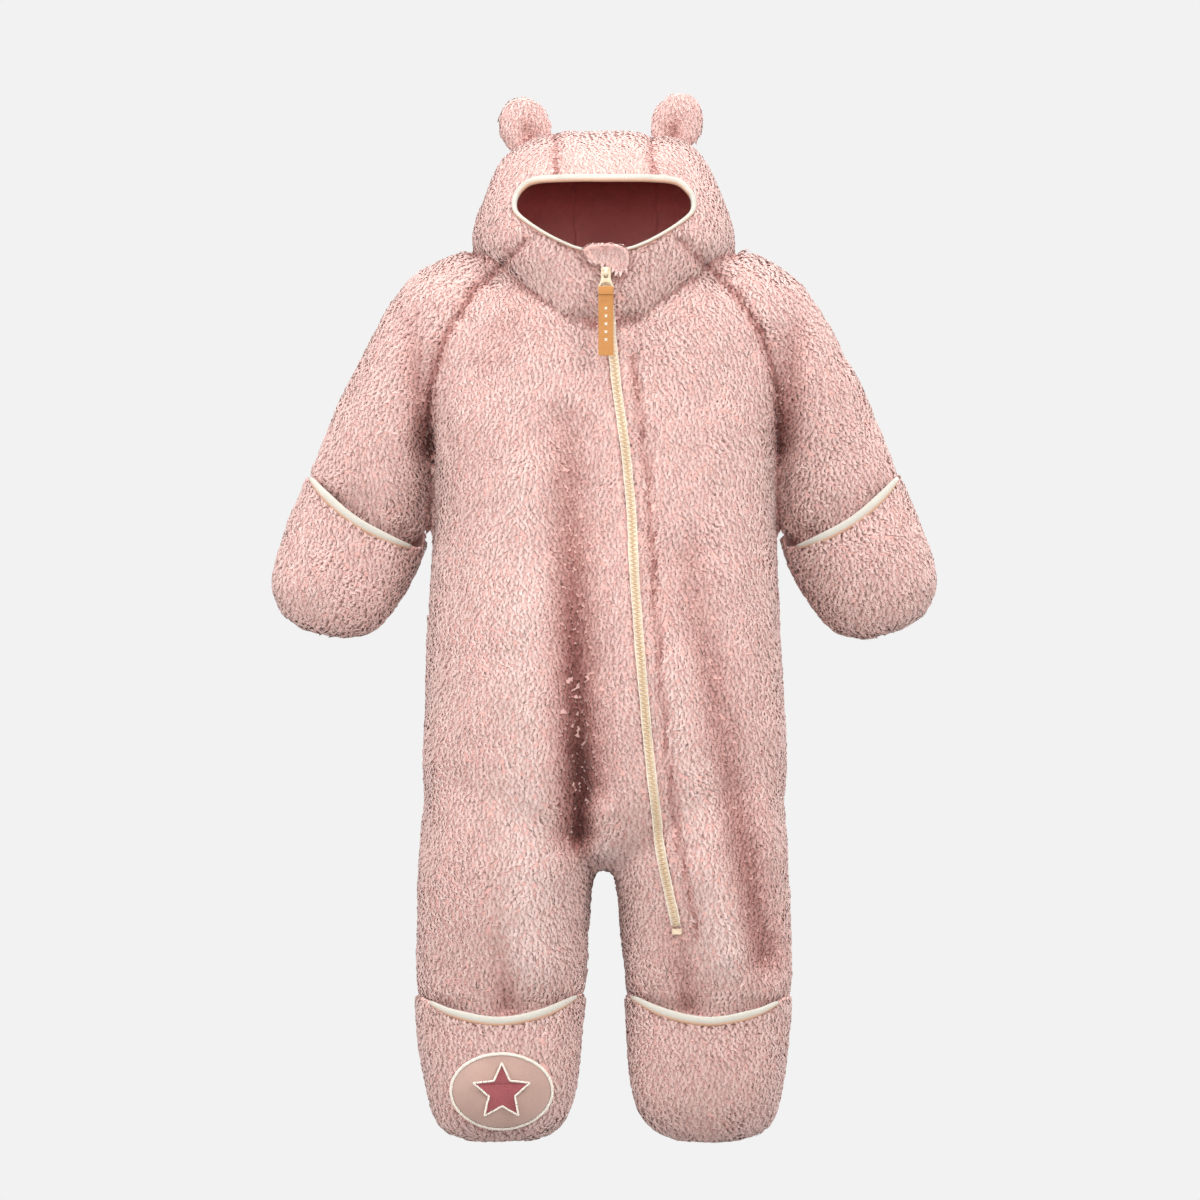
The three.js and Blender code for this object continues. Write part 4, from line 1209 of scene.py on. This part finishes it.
def even_points(points, step):
    """Points at an even distance along a line."""
    made = [points[0].copy()]
    left = step
    for a, b in zip(points, points[1:]):
        long = (b - a).length
        at = left
        while at <= long:
            made.append(a + (b - a) * (at / long))
            at += step
        left = at - long
    return made


def front_line(tree, points, lift):
    return [on_front(tree, p.x, p.y, lift) for p in points]


def off_patch(p, n):
    """Pile grows on the pouches except under the appliqué."""
    x, z = (p.x - PATCH_PLACE[0]) / (PATCH_SIZE[0] / 2), (p.z - PATCH_PLACE[1]) / (PATCH_SIZE[1] / 2)
    return 0 if p.y < 0 and x ** 2 + z ** 2 < 1.1 else 1


# Each pouch: its sections, how far its skin lies in, its squareness, the depth that parts front and
# back, the front's upper edge, the back's, how deep that edge is snapped, seeds and the binding's ends
POUCHES = [
    ("foot", FOOT, PILE - 1, 2.4, 0, FOOT_EDGE, lambda x: FOOT_SEAM, -2, (20, 24), (17.5, 121)),
    ("mitt", MITT, PILE - 1.2, 2.3, MITT_MIDDLE, MITT_EDGE, lambda x: line_z(MITT_SEAM, x),
     MITT_MIDDLE - 3, (30, 34), (130, 198.5)),
]
pouch_trees = {}
for side_name, side in SIDES.items():
    for kind, rows, inset, square, middle, edge, back_top, snap, seeds, ends in POUCHES:
        skin = fused(f"{kind}_skin_{side_name}", [(rows, side, 40, 24, inset, square)], 3.5, 4)
        ripple_skin(skin, 0.6)
        cloths = {
            "front": cut_faces(skin, f"{kind}_front_{side_name}_cloth",
                               lambda p, n: p.y < middle and p.z < ramp(edge, p.x * side)),
            "back": cut_faces(skin, f"{kind}_back_{side_name}_cloth",
                              lambda p, n: p.y >= middle and p.z < back_top(p.x * side)),
        }
        snap_edge(cloths["front"], edge, side, snap)
        tree = pouch_trees[kind, side] = tree_of(skin)
        flow = DOWN if kind == "foot" else Vector((side * 0.5, 0, -0.85))
        piles = [dress(f"{kind}_{part}_{side_name}_pile", cloth, flow, off_patch, seed + side)
                 for (part, cloth), seed in zip(cloths.items(), seeds)]
        for (part, cloth), pile in zip(cloths.items(), piles):
            finish_cloth(cloth, f"{kind}_{part}_{side_name}", KNIT, BACKING)
        line = [Vector((x * side, z)) for x, z in pairs(smooth_points(edge, 6)) if ends[0] < x < ends[1]]
        places = front_line(tree, even_points(line, STEP), 1.0)
        node = f"{kind}_binding_{side_name}"
        bound_strip(places, node + "_cloth", node, flap_width(places), 3.4)
        bpy.data.objects.remove(skin)


# Hood: face binding, lining, ears and chin guard

def rim_width(p):
    """The face binding is widest over the brow and thin where the cheeks cover it."""
    return ramp([(0, 2.2), (24, 2.6), (40, 3.8), (54, 5.4), (70, 5.6)], p.z)


def inset_line(points, distance):
    """A closed line moved inwards by a distance that depends on the place."""
    middle = Vector((0, 32))
    made = []
    for i, p in enumerate(points):
        run = (points[(i + 1) % len(points)] - points[i - 1]).normalized()
        side = Vector((-run.y, run.x))
        side = side if side.dot(middle - p) > 0 else -side
        made.append(p + side * distance(p))
    return made


rim_line = inset_line(FACE_CURVE, lambda p: rim_width(Vector((p.x, 0, p.y))) / 2)
face_edge = even_points(rim_line + rim_line[:1], STEP)
low = min(range(len(face_edge)), key=lambda i: (face_edge[i].y, abs(face_edge[i].x)))
face_edge = face_edge[low:] + face_edge[:low]
rim = front_line(body_tree, face_edge, 1.4)
bound_strip(rim + rim[:1], "face_binding_cloth", "face_binding", rim_width, 3.6)

lining_skin = fused("lining_skin", [(HOOD, 1, 56, 40, 8.5, 2.25)], 4.0, 5)
for v in lining_skin.data.vertices:
    p = v.co / MM
    broad = noise.noise(Vector((p.x / 16, p.y / 30, p.z / 22)))
    fine = noise.noise(Vector((p.x / 7, p.y / 18, p.z / 9)))
    wrinkle = 1.6 * broad + 1.2 * fine
    puff = 1.2 * (1 - bell(p.x - LINING_SEAMS["right"], 5) - bell(p.x - LINING_SEAMS["left"], 5))
    v.co = v.co + v.normal * (wrinkle * 0.8 + puff - 2.6) * MM
bm = opened(lining_skin)
for seam in LINING_SEAMS.values():
    whole = list(bm.verts) + list(bm.edges) + list(bm.faces)
    bmesh.ops.bisect_plane(bm, geom=whole, plane_co=(seam * MM, 0, 0), plane_no=(1, 0, 0))
put_back(bm, lining_skin)
for part, keep in (
    ("right", lambda p: p.x < LINING_SEAMS["right"]),
    ("centre", lambda p: LINING_SEAMS["right"] <= p.x < LINING_SEAMS["left"]),
    ("left", lambda p: p.x >= LINING_SEAMS["left"]),
):
    cloth = cut_faces(lining_skin, f"lining_{part}_cloth",
                      lambda p, n: keep(p) and p.z > LINING_LOW and not in_face(p, n))
    finish_cloth(cloth, f"lining_{part}", LINING_CLOTH, LINING)
bpy.data.objects.remove(lining_skin)

for side_name, side in SIDES.items():
    bm = bmesh.new()
    bmesh.ops.create_uvsphere(bm, u_segments=36, v_segments=24, radius=1)
    for v in bm.verts:
        x, y, z = v.co
        crease = 4.6 * bell(x, 0.34) * bell(z + 0.3, 0.6) if y < 0 else 0
        narrow = 1 - 0.16 * max(0, -z)
        v.co = Vector((x * narrow * (EAR[0] / 2 - PILE + 0.6), y * (EAR[2] / 2 - PILE * 0.7) + crease,
                       z * (EAR[1] / 2 - PILE + 0.6)))
    bmesh.ops.rotate(bm, verts=bm.verts, matrix=Matrix.Rotation(side * EAR_TILT, 3, "Y"))
    bmesh.ops.translate(bm, verts=bm.verts, vec=EAR_PLACE[side])
    bmesh.ops.scale(bm, verts=bm.verts, vec=(MM, MM, MM))
    bmesh.ops.recalc_face_normals(bm, faces=bm.faces)
    ear = mesh_object(f"ear_{side_name}_pad", bm)
    middle = Vector(EAR_PLACE[side])
    # The ear's pile is darkened down its front round the crease: painted shade in the ear's hollow.
    pile = dress(f"ear_{side_name}_pile", ear, lambda p: (p - middle).normalized() * 0.8 + DOWN * 2,
                 lambda p, n: 1 if p.z > EAR_FOOT else 0, 40 + side, gap=1.75, long=lambda p, n: 0.42,
                 painted_shading=lambda p, n: (0.42 * bell(p.x - middle.x + side * 2, 5) * bell(p.z - middle.z + 6, 12)
                                      * (n.y < 0)))
    for p in ear.data.polygons:
        p.use_smooth = True
    ear.data.materials.append(KNIT)
    belongs(ear, GARMENT, f"ear_{side_name}")

bm = laid_patch(GUARD_CURVE, body_tree, PILE + 0.4, 1.6, 3, 1.3)
guard = mesh_object("chin_guard_cloth", bm)
pile = dress("chin_guard_pile", guard, DOWN, always, 50, gap=1.9, long=lambda p, n: 0.5)
finish_cloth(guard, "chin_guard", KNIT, 1.6)


# Zip: tapes, teeth, and the trim of its slider

zip_points = even_points([Vector(p) for p in ZIP_CURVE if ZIP_END < p[1] < ZIP_TOP], 1.5)
for side_name, side in SIDES.items():
    edge = [p + Vector((side * 1.75, 0)) for p in zip_points[::2]]
    places = front_line(body_tree, edge, 1.9)
    bound_strip(places, f"zip_{side_name}_tape", f"zip_{side_name}", 3.7, 1.3, ZIP_TAPE)
zigzag = [on_front(body_tree, p.x + (2.5 if i % 2 else -2.5), p.y, 2.7) for i, p in enumerate(zip_points)]
stitch_row("zip_coil", zigzag, (5.4, 0.85, 0.8), ZIP_TEETH, GARMENT)
for name, offset in (("zip_edge_right", -3.5), ("zip_edge_left", 3.5)):
    edge = even_points([p + Vector((offset, 0)) for p in zip_points], 0.9)
    stitch_row(name, front_line(body_tree, edge, 2.4), (0.8, 0.7, 0.5), THREAD, GARMENT)


# Appliqué on the right foot

foot_tree = pouch_trees["foot", -1]
oval = [Vector((PATCH_PLACE[0] + PATCH_SIZE[0] / 2 * math.cos(i * math.tau / 72),
                PATCH_PLACE[1] + PATCH_SIZE[1] / 2 * math.sin(i * math.tau / 72))) for i in range(72)]
ground = mesh_object("patch_ground_satin", laid_patch(oval, foot_tree, PILE - 0.3, 1.4, 10, 2.2))
finish_cloth(ground, "patch_ground", SATIN, 0.8)
corners = []
for i in range(10):
    reach = STAR[i % 2]
    turn = math.pi / 2 + i * math.pi / 5
    corners.append(Vector((PATCH_PLACE[0] + reach * math.cos(turn), PATCH_PLACE[1] + reach * math.sin(turn))))
star_edge = even_points(corners + corners[:1], 2.0)[:-1]
star = mesh_object("patch_motif_felt", laid_patch(star_edge, foot_tree, PILE + 1.5, 0.7, 2, 1.2))
finish_cloth(star, "patch_motif", FELT, 0.8)


def satin_border(name, line, lift, wide, finish):
    """A border of close threads sewn across a line on the right foot."""
    places = front_line(foot_tree, even_points(line, 0.62), lift)
    bars = []
    for (a, normal), (b, _) in zip(places, places[1:]):
        along = (b - a).normalized()
        across = normal.cross(along).normalized()
        bars.append((a, Matrix((along * 0.36, along.cross(across) * 0.45, across * wide / 2)).transposed()))
    sewn(name, bars, finish, GARMENT)


satin_border("patch_border", oval + oval[:1], PILE + 0.6, 2.6, THREAD)
satin_border("star_border", corners + corners[:1], PILE + 2.4, 1.7, THREAD)


def eased(node, finish, body_name, width):
    """A CAD piece with its sharp edges rounded."""
    bm = opened(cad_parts[node])
    bmesh.ops.remove_doubles(bm, verts=bm.verts, dist=0.01 * MM)
    bmesh.ops.dissolve_limit(bm, angle_limit=math.radians(2), verts=bm.verts, edges=bm.edges)
    sharp = [e for e in bm.edges if e.is_manifold and e.calc_face_angle(0) > math.radians(40)]
    bmesh.ops.bevel(bm, geom=sharp, offset=width * MM, offset_type="OFFSET", segments=3, profile=0.5,
                    affect="EDGES", material=-1, clamp_overlap=True)
    bmesh.ops.triangulate(bm, faces=[f for f in bm.faces if len(f.verts) > 4])
    for e in bm.edges:
        e.smooth = e.calc_face_angle(0) < math.radians(40)
    smoothed(bm.faces)
    obj = mesh_object(node + "_eased", bm)
    obj.data.materials.append(finish)
    belongs(obj, body_name, node)


eased("zip_slider", LACQUER, GARMENT, 0.45)
eased("zip_pull", LACQUER, PULL, 0.3)
eased("pull_tape", TAPE_CLOTH, PULL, 0.3)


def on_tape(x, z):
    return Vector((TAPE_MIDDLE + x, TAPE_FRONT, z)) * MM, Vector((0, -1, 0))


for name, height in (("tape_stitches_upper", -27.2), ("tape_stitches_lower", -59.2)):
    row = [on_tape(-4.4 + 1.1 * i, height) for i in range(9)]
    stitch_row(name, row, (0.85, 0.45, 0.3), GOLD_THREAD, PULL)
crosses = []
for i in range(5):
    for turn in (-1, 1):
        bar = Vector((0.7, 0, 0.7 * turn))
        across = Vector((-0.18 * turn, 0, 0.18))
        place = on_tape(0, -32.6 - 5.3 * i)[0]
        crosses.append((place, Matrix((bar * 1.5, across * 1.4, Vector((0, -0.16, 0)))).transposed()))
sewn("tape_cross_stitches", crosses, THREAD, PULL)

# The box that stops the zip at its lower end
bm = bmesh.new()
bmesh.ops.create_cube(bm, size=1)
bmesh.ops.scale(bm, verts=bm.verts, vec=Vector(ZIP_BOX) * MM)
bmesh.ops.bevel(bm, geom=list(bm.edges), offset=0.5 * MM, offset_type="OFFSET", segments=3, profile=0.5,
                affect="EDGES", material=-1)
bmesh.ops.translate(bm, verts=bm.verts, vec=on_front(body_tree, zip_x(ZIP_END), ZIP_END + 1, 2.0)[0])
box = mesh_object("zip_end_box", bm)
box.data.materials.append(LACQUER)
belongs(box, GARMENT)
